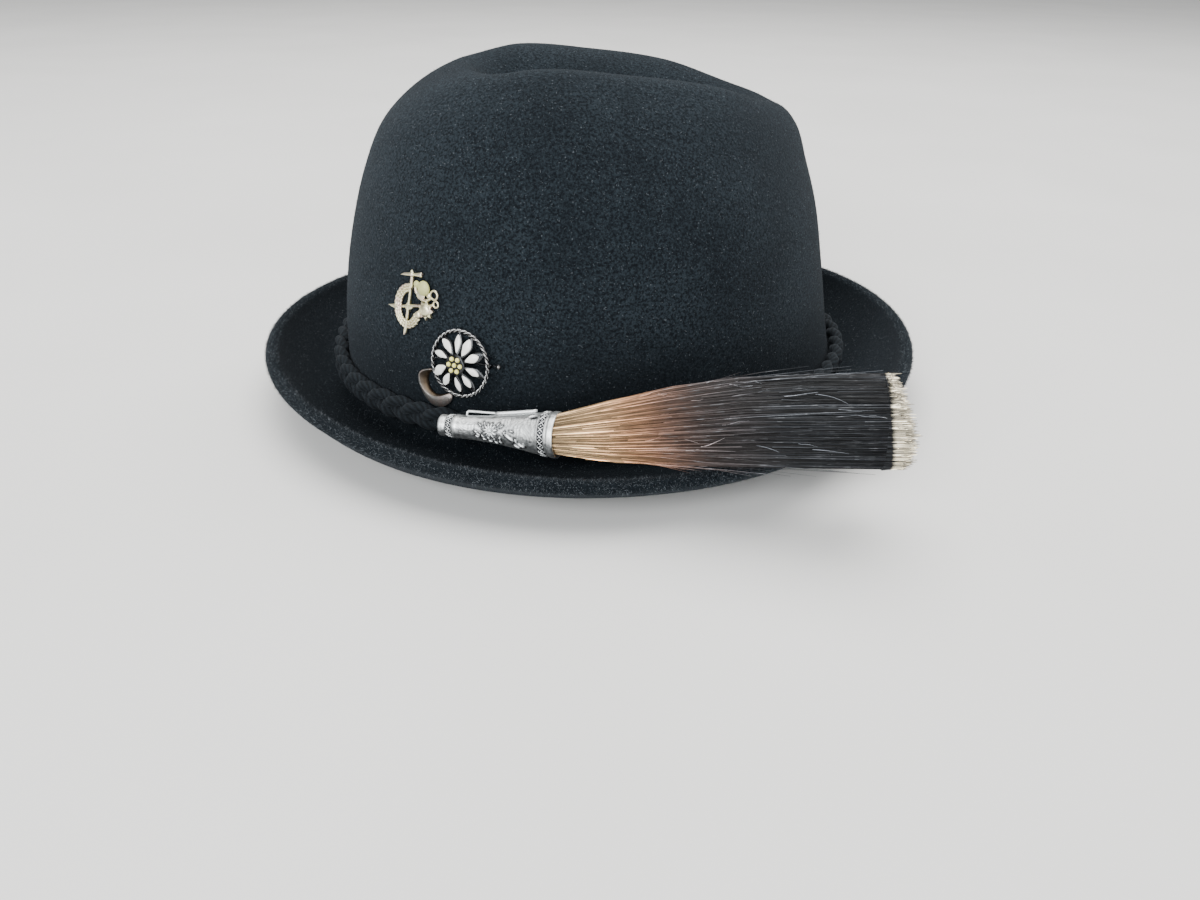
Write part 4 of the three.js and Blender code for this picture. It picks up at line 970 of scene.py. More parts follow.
def ferrule_bands():
    """A lattice between the turned rings at both ends: two zigzags of cast ridges that cross and leave
    diamonds, with a dot in each."""
    parts = []
    dot = LATTICE_DOT
    for middle, height, count, width in LATTICES:
        radius = through(FERRULE_OUTSIDE[:, 0], FERRULE_OUTSIDE[:, 1], np.array(middle))
        half = TAU * radius / count / 2
        length = np.hypot(half, height)
        tilt = np.arctan2(height, half)
        turn = TAU * (np.arange(2 * count) + 0.5) / (2 * count)
        for lean in (tilt, -tilt):
            parts.append(relief(middle, turn, lean, length, width, LATTICE_RIDGE_HEIGHT, steps=6, around=8))
        turn = TAU * np.arange(2 * count) / (2 * count)
        parts.append(relief(middle, turn, 0.0, dot["size"], dot["size"], dot["height"], steps=6, around=8))
    return parts


def ferrule_flower():
    """The casting: petals at even turns round a middle with seeds on it, and bells and small leaves beside
    it."""
    flower, seed, leaf = CAST_FLOWER, FLOWER_SEEDS, CAST_LEAF
    place = flower["share"], flower["turn"]
    turns = TAU * np.arange(flower["petals"]) / flower["petals"]
    petals = relief(*place, turns, flower["length"], flower["width"], flower["height"],
                    offset=flower["reach"] / 2 + 0.35)
    turns = TAU * np.arange(seed["count"]) / seed["count"]
    seeds = relief(*place, turns, seed["size"], seed["size"], seed["height"], offset=seed["reach"])
    middle = relief(*place, 0, flower["middle"], flower["middle"], flower["middle_height"])
    bells = relief(*CAST_BELLS.T, height=CAST_BELL_HEIGHT)
    leaves = relief(*CAST_LEAVES.T, leaf["length"], leaf["width"], leaf["height"])
    return [petals, seeds, middle, bells, leaves]


def ferrule_clip():
    """A rolled barrel along the upper side, and the wire that runs from it, bows and turns into the
    ferrule."""
    c = CLIP
    share = np.linspace(c["from"], c["to"], 14)
    barrel = on_ferrule(share, np.full_like(share, c["turn"]), c["lift"])[None]
    up = np.broadcast_to(ferrule_out(np.array(c["turn"])), barrel.shape)
    side = unit(np.cross(up, np.gradient(barrel, axis=1)))
    full = np.full(barrel.shape[:2], c["radius"])
    full[:, [0, -1]] *= 0.8
    body = lofts(barrel, side, up, full, full, 14)
    bend = np.linspace(0, 1, 30)
    share = c["from"] + 0.02 + (c["end"] - c["from"] - 0.02) * np.clip(bend * 1.12, 0, 1)
    sunk = np.clip((bend - 0.84) / 0.16, 0, 1) ** 1.6
    lift = c["lift"] + c["bow"] * np.sin(np.pi * 0.5 * bend) - c["sinks"] * sunk
    wire = on_ferrule(share, np.full_like(share, c["turn"]), lift)[None]
    tangent = np.gradient(wire, axis=1)
    side = unit(np.cross(np.broadcast_to(ferrule_out(np.array(c["turn"] + 1.57)), wire.shape), tangent))
    full = np.full(wire.shape[:2], c["wire"])
    return [body, lofts(wire, side, unit(np.cross(tangent, side)), full, full, 10)]


def ferrule(material):
    """The shell with its castings, bands and clip as one piece, bright wherever something stands out."""
    shell, share, outer = ferrule_shell()
    castings = ferrule_flower()
    rest = [*castings, *ferrule_bands(), *ferrule_clip()]
    polish_and_shade = ferrule_polish_and_shade(len(shell[0]), share, outer, castings)
    polish_and_shade = np.concatenate([polish_and_shade, np.ones(sum(len(points) for points, _ in rest))])
    piece = make_piece("ferrule", *joined([shell, *rest]), "silver", material, values={"polish_and_shade": polish_and_shade})
    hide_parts("brush_ferrule")


# Hair

def walked(points):
    """How far along a line of points each of them lies."""
    return np.concatenate([[0], np.cumsum(np.linalg.norm(np.diff(points, axis=0), axis=1))])


def hair_line(share):
    """The hair's line and its direction at a share of its length: cubic pieces through the root, the
    ferrule's mouth and the places of HAIR_LINE, and straight on past its end."""
    along = unit(FERRULE_LARGE_END - FERRULE_SMALL_END)
    stops = np.vstack([FERRULE_LARGE_END - along * HAIR_ROOT_DEPTH, FERRULE_LARGE_END, HAIR_LINE])
    far = walked(stops)

    def at(place):
        return np.stack([through(far / far[-1], column, place) for column in stops.T], axis=-1)

    fine = np.linspace(0, 1, 400)
    length = walked(at(fine))
    place = np.interp(np.clip(share, 0, 1), length / length[-1], fine)
    tangent = unit(at(np.minimum(place + 0.004, 1)) - at(np.maximum(place - 0.004, 0)))
    over = np.maximum(np.asarray(share) - 1, 0)[..., None] * length[-1]
    return at(place) + tangent * over, tangent


def hair_point(share, turn, spread):
    """A place in the hair: share along its line, turn round it, and spread as a share of the way out."""
    share, turn, spread = np.broadcast_arrays(share, turn, spread)
    middle, tangent = hair_line(share)
    side = unit(np.cross(tangent, (0, 0, 1)))
    up = np.cross(side, tangent)
    high = through(HAIR_SECTIONS[:, 0], HAIR_SECTIONS[:, 1], share)
    deep = through(HAIR_SECTIONS[:, 0], HAIR_SECTIONS[:, 2], share)
    return (middle + side * (spread * deep * np.cos(turn))[..., None]
            + up * (spread * high * np.sin(turn))[..., None])


def hair_end(turn, spread):
    """Where the hair ends, as a share of its line: sooner towards its upper and its lower edge, by powers of
    how far up or down a hair lies."""
    upper = TIP_UPPER_SHORTER * np.clip(np.sin(turn) * spread, 0, 1) ** 1.4
    lower = TIP_LOWER_SHORTER * np.clip(-np.sin(turn) * spread, 0, 1) ** 2
    return 1 - TIP_SHORTER - upper - lower


def hair_core(material):
    """The dense inside of the brush: an oval body a little inside the hair's outer form, with grooves along
    it from a sine of the turn whose pace swings. Its low tone paints the shade deep between the hairs."""
    share = np.linspace(0.0, 1.0, CORE_RINGS)[:, None]
    turn = TAU * np.arange(CORE_SIDES)[None, :] / CORE_SIDES
    spread = CORE_SPREAD - CORE_GROOVE * np.sin(turn * 23 + 3 * np.sin(turn * 4))
    end = hair_end(turn, spread) - 0.01
    rings = hair_point(share * end, turn, spread)
    ends = np.array([[hair_point(0.0, 0.0, 0.0), rings[-1].mean(0)]])
    points, groups = tubes(rings[None], ends)
    along = np.concatenate([np.repeat(share[:, 0], CORE_SIDES), [0, 1]])
    # The core's low tone is painted shade.
    values = {"along": along, "tone": np.full(len(points), CORE_PAINTED_SHADE_TONE), "turn": np.zeros(len(points))}
    piece = make_piece("hair_core", points, groups, "hair", material, values=values)
    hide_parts("brush_hair")


def hair_strands(name, kind, starts, ends, turns, spreads, draw, material, seed):
    """Single hairs as three-sided tapered tubes. A hair keeps its place in the brush's section while that
    widens, with a slow drift round it and a gentle wave. Its along value is its share of the brush there.
    Widths and tones are the next two draws of the brush's row, and each kind's shapes have their own."""
    count, steps = kind["count"], kind["steps"]
    widths = draw.uniform(*kind["width"], count)
    tones = draw.uniform(*kind["tone"], count)
    shapes = np.random.default_rng(seed)
    step = np.linspace(0, 1, steps)[None, :]
    share = starts[:, None] + (ends - starts)[:, None] * step
    sway = shapes.normal(0, 1, (count, 1)) * kind["drift"] * step ** 1.5
    wave = shapes.normal(0, 0.012, (count, 1))
    wave = wave * np.sin(step * shapes.uniform(3, 9, (count, 1)) + turns[:, None])
    lift = kind["bend"] * shapes.uniform(0.2, 1.0, (count, 1)) * step ** 2
    path = hair_point(share, turns[:, None] + sway + wave, spreads[:, None] + lift + wave)
    tangent = unit(np.gradient(path, axis=1))
    side = unit(np.cross(tangent, (0.3, -0.5, 0.8)))
    up = np.cross(side, tangent)
    taper = np.clip(1.25 - 0.9 * step, 0.35, 1.0)
    half = widths[:, None] / 2 * taper
    turn = TAU * np.arange(3) / 3
    spokes = side[..., None, :] * np.cos(turn)[:, None] + up[..., None, :] * np.sin(turn)[:, None]
    rings = path[..., None, :] + half[..., None, None] * spokes
    last = path[:, -1] + tangent[:, -1] * widths[:, None]
    points, groups = tubes(rings, np.stack([path[:, 0], last], axis=1))
    per = steps * 3 + 2
    place = share + TIP_UPPER_SOONER * (np.sin(turns) * spreads)[:, None]
    along = np.concatenate([np.repeat(place, 3, axis=1), place[:, :1], place[:, -1:]], axis=1)
    values = {"along": along, "tone": np.repeat(tones, per), "turn": np.repeat(turns, per)}
    make_piece(name, points, groups, "hair", material, values=values)


def locked(turns, draw):
    """Turns drawn together into locks by a sine of them, so that dark partings run between the locks."""
    pull = draw.uniform(0.35, 0.9, len(turns)) / HAIR_LOCKS
    return turns + pull * np.sin(HAIR_LOCKS * turns + 1.7 * np.sin(3 * turns))


def outer_hairs(draw, material):
    """The hairs that show, close under the hair's outer form, drawn together into locks."""
    count = HAIRS["count"]
    turns = locked(draw.uniform(0, TAU, count), draw)
    spreads = draw.uniform(0.84, 1.0, count) ** 0.6
    starts = np.full(count, HAIRS_FROM)
    ends = hair_end(turns, spreads) + draw.normal(0, 0.008, count)
    hair_strands("hairs", HAIRS, starts, ends, turns, spreads, draw, material, HAIR_SEED + 1)


def tip_bristles(draw, material):
    """Short bristles that fill the brush's end, even over its section."""
    count = TIP_BRISTLES["count"]
    turns = draw.uniform(0, TAU, count)
    spreads = np.sqrt(draw.uniform(0, 1, count))
    starts = np.full(count, TIP_BRISTLES_FROM)
    ends = hair_end(turns, spreads) + draw.normal(0.0, 0.012, count)
    hair_strands("hair_tips", TIP_BRISTLES, starts, ends, turns, spreads, draw, material, HAIR_SEED + 2)


def stray_hairs(draw, material):
    """Long thin hairs that leave the brush's outline."""
    count = STRAY_HAIRS["count"]
    starts = draw.uniform(0.03, 0.3, count)
    ends = draw.uniform(0.4, 0.96, count)
    turns = draw.uniform(0, TAU, count)
    spreads = draw.uniform(0.95, 1.0, count)
    hair_strands("stray_hairs", STRAY_HAIRS, starts, ends, turns, spreads, draw, material, HAIR_SEED + 3)


def crossing_hairs(draw, material):
    """Short hairs that lie a little askew on the brush's face."""
    count = CROSSING_HAIRS["count"]
    starts = draw.uniform(0.3, 0.84, count)
    ends = starts + draw.uniform(0.03, 0.1, count)
    turns = draw.uniform(0, TAU, count)
    spreads = draw.uniform(1.0, 1.02, count)
    hair_strands("crossing_hairs", CROSSING_HAIRS, starts, ends, turns, spreads, draw, material,
                 HAIR_SEED + 4)


def hair_brush(material):
    """The core and four kinds of hairs, whose places come from one row of draws."""
    hair_core(material)
    draw = np.random.default_rng(HAIR_SEED)
    outer_hairs(draw, material)
    tip_bristles(draw, material)
    stray_hairs(draw, material)
    crossing_hairs(draw, material)


def hair_noise(tree, turn, along, across, lengthwise, detail, roughness):
    """Noise over the brush, so many times round it for each radian and along its length."""
    place = add(tree, "ShaderNodeCombineXYZ", {"X": times(tree, turn, across),
                                               "Y": times(tree, along, lengthwise)})
    return noise(tree, 1.0, detail, roughness, place.outputs["Vector"])


def hair_material():
    """Animal hair: cream at the ferrule, then reddish brown, then near black, with ivory tips. Each hair's
    tone shifts its colour, and the places where the colours change differ from hair to hair. Neighbours
    are light and dark together in streaks that change along the brush, and greyer ones surface here and
    there in its dark part."""
    material, tree = new_material("brush_hair")
    along, tone, turn = (attribute(tree, name) for name in ("along", "tone", "turn"))
    shifted = plus(tree, along, times(tree, combined(tree, "SUBTRACT", tone, 0.5), 0.10))
    ramp = add(tree, "ShaderNodeValToRGB", {"Fac": shifted})
    elements = ramp.color_ramp.elements
    while len(elements) < len(HAIR_COLOURS):
        elements.new(0.5)
    for element, (place, colour) in zip(elements, HAIR_COLOURS):
        element.position = place
        element.color = (*colour, 1.0)
    surfacing = between(tree, hair_noise(tree, turn, along, 160.0, 22.0, 2, 0.5), 0.58, 0.66)
    dark = times(tree, surfacing, between(tree, along, 0.3, 0.42, 0.0, 0.45))
    strands = mixed(tree, dark, ramp.outputs["Color"], GREY_HAIR)
    tip = between(tree, plus(tree, along, times(tree, tone, 0.008)), TIP_FROM, TIP_FROM + 0.01)
    tipped = mixed(tree, tip, strands, IVORY_HAIR)
    streak = between(tree, hair_noise(tree, turn, along, 22.0, 9.0, 4, 0.7), 0.36, 0.66, 0.55, 1.45)
    bright = plus(tree, 0.32, times(tree, combined(tree, "POWER", tone, 4.5), 4.0))
    colour = brightened(tree, tipped, times(tree, bright, streak))
    return shaded(material, {"Base Color": colour, "Roughness": 0.42, "Specular IOR Level": 0.18})


# Metal and enamel

def metal_material(name, bright, dark, roughness, bump, hollows, clouds):
    """Worn metal: dark grime in clouds and pits, polished where it stands out, finely uneven. An attribute
    darkens what has never been rubbed bright, and also paints shade into the ferrule's hole and onto the
    brooch's pin and posts."""
    material, tree = new_material(name)
    grime = noise(tree, 900, detail=4, roughness=0.65)
    pits = noise(tree, 2790, detail=2)
    hollow = between(tree, pointiness(tree), *hollows)
    cloudy = between(tree, grime, 0.35, 0.75, -clouds, clouds * 0.7)
    wear_and_painted_shade = between(tree, plus(tree, hollow, cloudy), 0.0, 1.0)
    rubbed_and_shaded = between(tree, times(tree, wear_and_painted_shade, attribute(tree, "polish_and_shade")), 0.0, 1.0)
    uneven = between(tree, grime, 0.3, 0.7, roughness * 0.75, roughness * 1.35)
    return shaded(material, {"Base Color": mixed(tree, rubbed_and_shaded, dark, bright), "Roughness": uneven,
                             "Metallic": 1.0, "Normal": bumped(tree, plus(tree, pits, grime), bump, 0.6)})


def cast_gold_material():
    """A worn pale gold wash, with a matte greenish one on the small hat, marked by an attribute."""
    material, tree = new_material("pale_gold")
    grime = noise(tree, 1300, detail=4, roughness=0.65)
    hollow = between(tree, pointiness(tree), 0.42, 0.53)
    shade = plus(tree, hollow, between(tree, grime, 0.35, 0.75, -0.3, 0.2))
    pink = between(tree, noise(tree, 330, detail=2), 0.5, 0.62)
    wash = mixed(tree, pink, (0.86, 0.81, 0.56), (0.84, 0.70, 0.58))
    wear_and_painted_shade = mixed(tree, between(tree, shade, 0.0, 1.0), (0.13, 0.105, 0.055), wash)
    matte = attribute(tree, "matte")
    return shaded(material, {"Base Color": mixed(tree, matte, wear_and_painted_shade, (0.50, 0.50, 0.22)),
                             "Roughness": between(tree, matte, 0.0, 1.0, 0.36, 0.6),
                             "Metallic": between(tree, matte, 0.0, 1.0, 1.0, 0.35),
                             "Normal": bumped(tree, grime, 0.00014, 0.6)})


def tarnished_material():
    """Tarnished plate: grey with pinkish patches, and dark brown on the hollow inner side, painted shade on
    a brown tint.
    """
    material, tree = new_material("tarnished_metal")
    patch = between(tree, noise(tree, 260), 0.45, 0.62)
    grime = noise(tree, 1500, detail=4, roughness=0.65)
    face = mixed(tree, patch, (0.33, 0.325, 0.31), (0.38, 0.295, 0.265))
    inside = attribute(tree, "hollow")
    wear_and_painted_shade = mixed(tree, between(tree, grime, 0.35, 0.7), face, (0.20, 0.195, 0.185))
    # Painted shade: the hollow inner side is made dark brown.
    return shaded(material, {"Base Color": mixed(tree, inside, wear_and_painted_shade, (0.085, 0.060, 0.038)),
                             "Roughness": 0.42, "Metallic": 0.85,
                             "Normal": bumped(tree, grime, 0.0001, 0.6)})


def enamel_material(name, colour, shade):
    """Glossy enamel, a little uneven in colour."""
    material, tree = new_material(name)
    cloud = between(tree, noise(tree, 500, detail=2), 0.3, 0.7)
    return shaded(material, {"Base Color": mixed(tree, cloud, shade, colour), "Roughness": 0.18,
                             "Coat Weight": 0.4, "Coat Roughness": 0.08})


# Brooch

def brooch_seat():
    """The brooch's own frame: the felt's, turned about the way up it and tipped about the way across it."""
    origin, (right, up, out) = crown_frame(np.array(BROOCH_SEAT[0]), BROOCH_SEAT[1], BROOCH_STAND_OFF)
    across = right * np.cos(BROOCH_TURNED) - out * np.sin(BROOCH_TURNED)
    out = out * np.cos(BROOCH_TURNED) + right * np.sin(BROOCH_TURNED)
    upwards = up * np.cos(BROOCH_TIPPED) - out * np.sin(BROOCH_TIPPED)
    return origin, np.array([across, upwards, out * np.cos(BROOCH_TIPPED) + up * np.sin(BROOCH_TIPPED)])


def petal_width(share):
    """A petal's width along it, as a share of its greatest."""
    return through(PETAL_WIDTHS[:, 0], PETAL_WIDTHS[:, 1], share)


def on_slope(petals, start, tips, lift, steps):
    """Lines down the flower's slope for each petal, with their sides and ups: from a reach to the tips."""
    run = BROOCH_RADIUS - ROPE_RADIUS - PLATE_START
    slope = np.arctan2(SLOPE_TOP, run)
    share = np.linspace(0, 1, steps)
    far = start + (tips[:, None] - start) * share - PLATE_START
    turn = np.radians(petals[:, :1] + petals[:, 3:] * (share - 0.5))
    level = PLATE_START + far * np.cos(slope) + lift * np.sin(slope)
    path = np.stack([level * np.cos(turn), level * np.sin(turn),
                     SLOPE_TOP - far * np.sin(slope) + lift * np.cos(slope)], axis=-1)
    up = np.stack([np.cos(turn) * np.sin(slope), np.sin(turn) * np.sin(slope),
                   np.full_like(turn, np.cos(slope))], axis=-1)
    side = unit(np.cross(up, np.gradient(path, axis=1)))
    return path, side, up


def brooch_wires(middle):
    """Two wires twisted round each other as the ring: each runs round a circle that itself runs round the
    ring, half a turn from the other one."""
    steps = ROPE_TWISTS * 16
    turn = TAU * np.arange(steps) / steps
    reach = 0.5 * ROPE_RADIUS
    wires = []
    for start in (0, np.pi):
        twist = turn * ROPE_TWISTS + start
        r = middle + reach * np.cos(twist)
        path = stacked(r * np.cos(turn), r * np.sin(turn), reach * np.sin(twist))
        wires.append(closed_tube(path, reach))
    return wires


def brooch_plates(middle):
    """Petal plates with rims, down the slope from the boss to the ring."""
    share = np.linspace(0, 1, 22)
    tips = np.full(len(PETALS), middle)
    path, side, up = on_slope(PETALS, PLATE_START - PLATE_MARGIN, tips, 0.0, len(share))
    half = (PETALS[:, 2:3] / 2 + PLATE_MARGIN) * np.maximum(petal_width(share), PLATE_LEAST_WIDTH)
    half[:, [0, -1]] *= 0.3
    return lofts(path, side, up, half, np.full_like(half, PLATE_THICKNESS / 2), 14)


def brooch_boss():
    """The boss in the middle: its profile turned round."""
    angle = TAU * np.arange(48) / 48
    r = BOSS_RADIUS * BOSS_PROFILE[:, :1]
    rings = stacked(r * np.cos(angle), r * np.sin(angle), BOSS_PROFILE[:, 1:])[None]
    return tubes(rings, np.array([[(0, 0, BOSS_PROFILE[0, 1]), (0, 0, BOSS_TOP)]]))


def brooch_frame(material):
    """The ring, petal plates, boss, and the pin with its catch behind the ring, as one piece."""
    seat = brooch_seat()
    middle = BROOCH_RADIUS - ROPE_RADIUS
    parts = [*brooch_wires(middle), brooch_plates(middle), brooch_boss()]
    parts = [(seated(points, seat), groups) for points, groups in parts]
    parts += brooch_pin(middle * np.cos(BROOCH_TURNED))
    # The low numbers on the pin and its posts are painted shade behind the ring.
    polish_and_shade = [np.full(len(points), value) for (points, _), value in zip(parts, BROOCH_POLISH_AND_SHADE)]
    values = {"polish_and_shade": np.concatenate(polish_and_shade)}
    piece = make_piece("brooch", *joined(parts), "dark_silver", material, values=values)
    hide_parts("edelweiss_frame")


def brooch_pin(end):
    """The pin along the felt behind the ring, a post at each end that reaches the leaning ring, and the
    catch: a hook that rolls over the pin's point."""
    felt_seat = crown_frame(np.array(BROOCH_SEAT[0]), BROOCH_SEAT[1], 0.0)
    back = SEAT_GAP + CATCH_RADIUS
    line, across, rise = flat_lines((-end, 0), (CATCH_REACH, 0), 30, back)
    thick = np.full(line.shape[:2], CATCH_RADIUS)
    thick[:, -4:] *= np.array([0.9, 0.75, 0.5, 0.25])
    parts = [lofts(line, across, rise, thick, thick, 10)]
    for x in (-end, end):
        top = BROOCH_STAND_OFF - x * np.tan(BROOCH_TURNED)
        path = np.array([[(x, 0, z) for z in np.linspace(back - 0.2, top, 6)]])
        side = np.broadcast_to((1.0, 0.0, 0.0), path.shape)
        up = np.broadcast_to((0.0, 1.0, 0.0), path.shape)
        half = np.full(path.shape[:2], CATCH_RADIUS)
        parts.append(lofts(path, side, up, half, half, 10))
    curl = np.linspace(0, 1.5 * np.pi, 20)
    hook = stacked(CATCH_REACH - 0.4 + HOOK["half_length"] * np.cos(curl), 0.2,
                   back + 0.5 + HOOK["half_height"] * np.sin(curl))[None]
    side = np.broadcast_to((0.0, 1.0, 0.0), hook.shape)
    up = unit(np.cross(side, np.gradient(hook, axis=1)))
    half = np.full(hook.shape[:2], HOOK["half_width"])
    parts.append(lofts(hook, side, up, half, half * HOOK["flatness"], 10))
    return [(seated(points, felt_seat), groups) for points, groups in parts]


def brooch_petals(material):
    """Enamel pillows on the plates: pointed ovals with a low ridge along the middle."""
    seat = brooch_seat()
    share = np.linspace(0, 1, 22)
    lift = PLATE_THICKNESS / 2 + ENAMEL_LIFT
    path, side, up = on_slope(PETALS, PETAL_START, PETALS[:, 1], lift, len(share))
    half = PETALS[:, 2:3] / 2 * petal_width(share)
    high = PETAL_DOME * petal_width(share)[None] ** 0.5 * np.ones_like(half)
    points, groups = lofts(path, side, up, half, high, 16, below=0.1)
    piece = make_piece("petals", seated(points, seat), groups, "white_enamel", material)
    for number in range(1, len(PETALS) + 1):
        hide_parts(f"petal_{number:02d}")


def brooch_seeds(material):
    """Balls on the boss, one in the middle and six in a ring round it, a little sunk into it."""
    seat = brooch_seat()
    turn = TAU * np.arange(SEED_RING_COUNT) / SEED_RING_COUNT
    ring = SEED_RING_RADIUS * np.stack([np.cos(turn), np.sin(turn)], axis=-1)
    spots = np.concatenate([[(0.0, 0.0)], ring])
    latitude = np.linspace(-0.2, np.pi / 2 - 0.1, 9)[:, None]
    angle = TAU * np.arange(18) / 18
    r = SEED_RADIUS * np.cos(latitude)
    ball = stacked(r * np.cos(angle), r * np.sin(angle), SEED_HEIGHT * np.sin(latitude))
    levels = np.full((len(spots), 1), BOSS_TOP + ENAMEL_LIFT + 0.16)
    middles = np.concatenate([spots, levels], axis=1)
    rings = ball[None] + middles[:, None, None]
    ends = np.stack([middles - (0, 0, 0.2 * SEED_HEIGHT), middles + (0, 0, SEED_HEIGHT)], axis=1)
    points, groups = tubes(rings, ends)
    piece = make_piece("seeds", seated(points, seat), groups, "yellow_enamel", material)
    for number in range(1, len(spots) + 1):
        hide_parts(f"seed_{number}")


# Mountain pin

def rounded_plate(outline, height):
    """A cast plate over a closed outline, with its upper edge rounded and its back flat, from outline
    rings that draw in towards the middle."""
    edge = CAST_EDGE
    middle = outline.mean(0)
    reach = outline - middle
    size = np.linalg.norm(reach, axis=1).min()
    profile = ((0.6, 0.0), (0.02, 0.0), (0.0, edge * 0.5), (0.0, height - edge),
               (0.3 * edge, height - edge * 0.4), (edge, height), (0.6 * size, height))
    rings = []
    for inset, z in profile:
        scale = np.maximum(1 - inset / max(size, edge * 1.2), 0.2)
        rings.append(np.column_stack([middle + reach * scale, np.full(len(outline), z)]))
    ends = np.array([[(*middle, 0.0), (*middle, height)]])
    return tubes(np.array(rings)[None], ends)


def star_outline(x, y, reach, points, notch):
    """Points and notches by turns, at even turns round a middle."""
    turn = np.pi * np.arange(2 * int(points)) / points
    far = np.where(np.arange(2 * int(points)) % 2 == 0, reach, reach - notch)
    return np.stack([x + far * np.cos(turn), y + far * np.sin(turn)], axis=-1)


def mountain_coil():
    """Rope coil: strands side by side along an open oval, each with a two-sided section that turns along it,
    as a rope's does."""
    turn = np.linspace(COIL_FROM, COIL_TO, 320)
    width = COIL_BAND / COIL_STRANDS
    parts = []
    for strand in range(COIL_STRANDS):
        inset = width * (strand + 0.5)
        x = (COIL_HALF_WIDTH - inset) * np.cos(turn)
        y = (COIL_HALF_HEIGHT - inset) * np.sin(turn)
        path = stacked(COIL_MIDDLE[0] + x * np.cos(COIL_LEAN) - y * np.sin(COIL_LEAN),
                       COIL_MIDDLE[1] + x * np.sin(COIL_LEAN) + y * np.cos(COIL_LEAN),
                       MOUNTAIN_THICKNESS * 0.5)
        section = TAU * np.arange(12) / 12
        radius = width * 0.58 * (1 + 0.14 * np.sin(2 * section + COIL_TWISTS * turn[:, None]))
        rings = tube_points(path, radius, len(section), (0, 0, 1))
        parts.append(tubes(rings[None], path[None, [0, -1]]))
    return parts


def axe_head():
    """The axe's head as one bar whose half width follows its table, from the pick to the blade."""
    x = np.linspace(AXE_HEAD[0, 0], AXE_HEAD[-1, 0], 20)
    path = stacked(x, through(AXE_HEAD[:, 0], AXE_HEAD[:, 1], x), MOUNTAIN_THICKNESS / 2)
    up = np.broadcast_to((0.0, 0.0, 1.0), path.shape)
    side = unit(np.cross(up, np.gradient(path, axis=0)))
    half = through(AXE_HEAD[:, 0], AXE_HEAD[:, 2], x)
    high = np.full_like(half, MOUNTAIN_THICKNESS * 0.55)
    return lofts(path[None], side[None], up[None], half[None], high[None], 12)


def mountain_dome(x, y, radius, rise):
    """A low dome on the plate: half a ball drawn out to its radius and rise."""
    latitude = np.linspace(0, np.pi / 2 - 0.1, 8)[:, None]
    angle = TAU * np.arange(28) / 28
    r = radius * np.cos(latitude)
    foot = MOUNTAIN_THICKNESS * 0.8
    rings = stacked(x + r * np.cos(angle), y + r * np.sin(angle), foot + rise * np.sin(latitude))
    return tubes(rings[None], np.array([[(x, y, 0.2), (x, y, foot + rise)]]))


def mountain_loop(x, y, radius, wire):
    """A wire loop that lies in the middle of the plate's thickness."""
    turn = TAU * np.arange(40) / 40
    r = radius - wire / 2
    path = stacked(x + r * np.cos(turn), y + r * np.sin(turn), MOUNTAIN_THICKNESS / 2)
    return closed_tube(path, wire / 2)


def mountain_pin(material):
    """The whole casting from its parts, with the matte ones marked by an attribute."""
    seat = crown_frame(np.array(MOUNTAIN_SEAT[0]), MOUNTAIN_SEAT[1], SEAT_GAP)
    height = MOUNTAIN_THICKNESS
    parts = [*mountain_coil(), axe_head()]
    for x0, y0, x1, y1, width in MOUNTAIN_BARS:
        line, across, rise = flat_lines((x0, y0), (x1, y1), 12, height / 2)
        half = np.full(line.shape[:2], width / 2) * rounded_ends(12, 0.3)
        parts.append(lofts(line, across, rise, half, np.full_like(half, height * 0.62), 10))
    parts += [rounded_plate(star_outline(*row), height) for row in MOUNTAIN_STARS]
    matte = np.zeros(len(parts) + len(MOUNTAIN_DOMES) + len(MOUNTAIN_LOOPS))
    matte[len(parts):len(parts) + len(MOUNTAIN_DOMES)] = MOUNTAIN_DOMES[:, 4]
    parts += [mountain_dome(*row) for row in MOUNTAIN_DOMES[:, :4]]
    parts += [mountain_loop(*row) for row in MOUNTAIN_LOOPS]
    values = {"matte": np.repeat(matte, [len(points) for points, _ in parts])}
    points, groups = joined(parts)
    piece = make_piece("mountain_badge", seated(points, seat), groups, "pale_gold", material, values=values)
    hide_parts("mountain_pin")


# Crescent pin

def crescent_pin(material):
    """A bent horn, hollow on its inner side: at each turn its section runs from the outer edge over a
    rounded ridge and down a slope to the inner foot. An attribute marks the inner slope, which the material
    paints dark brown as shade."""
    seat = crown_frame(np.array(CRESCENT_SEAT[0]), CRESCENT_SEAT[1], SEAT_GAP)
    degrees = np.linspace(CRESCENT_EDGES[0, 0] + CRESCENT_SHORTER[0],
                          CRESCENT_EDGES[-1, 0] - CRESCENT_SHORTER[1], CRESCENT_STEPS)
    outer, ridge, inner = (through(CRESCENT_EDGES[:, 0], column, degrees) for column in CRESCENT_EDGES.T[1:])
    grow = rounded_ends(CRESCENT_STEPS, 0.35)[:, None]
    middle = ((outer + inner) / 2)[:, None]
    across = np.stack([outer, outer - 0.1, (outer + ridge) / 2, ridge + 0.12, ridge - 0.12,
                       (ridge * 0.45 + inner * 0.55), inner, inner + 0.25, (outer + inner) / 2], axis=-1)
    rise = CRESCENT_SECTION[:, 0] * CRESCENT_HEIGHT
    reach = middle + (across - middle) * np.maximum(grow, 0.35)
    turn = np.radians(degrees)[:, None]
    rings = stacked(CRESCENT_MIDDLE[0] + reach * np.cos(turn), CRESCENT_MIDDLE[1] + reach * np.sin(turn),
                    rise * np.maximum(grow, 0.4))
    hollow = np.tile(CRESCENT_SECTION[:, 1], CRESCENT_STEPS)
    ends = np.stack([rings[0].mean(0), rings[-1].mean(0)])
    points, groups = tubes(rings[None], ends[None])
    values = {"hollow": np.concatenate([hollow, [0, 0]])}
    piece = make_piece("crescent", seated(points, seat), groups, "tarnished_metal", material, values=values)
    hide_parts("crescent_pin")


# Nap

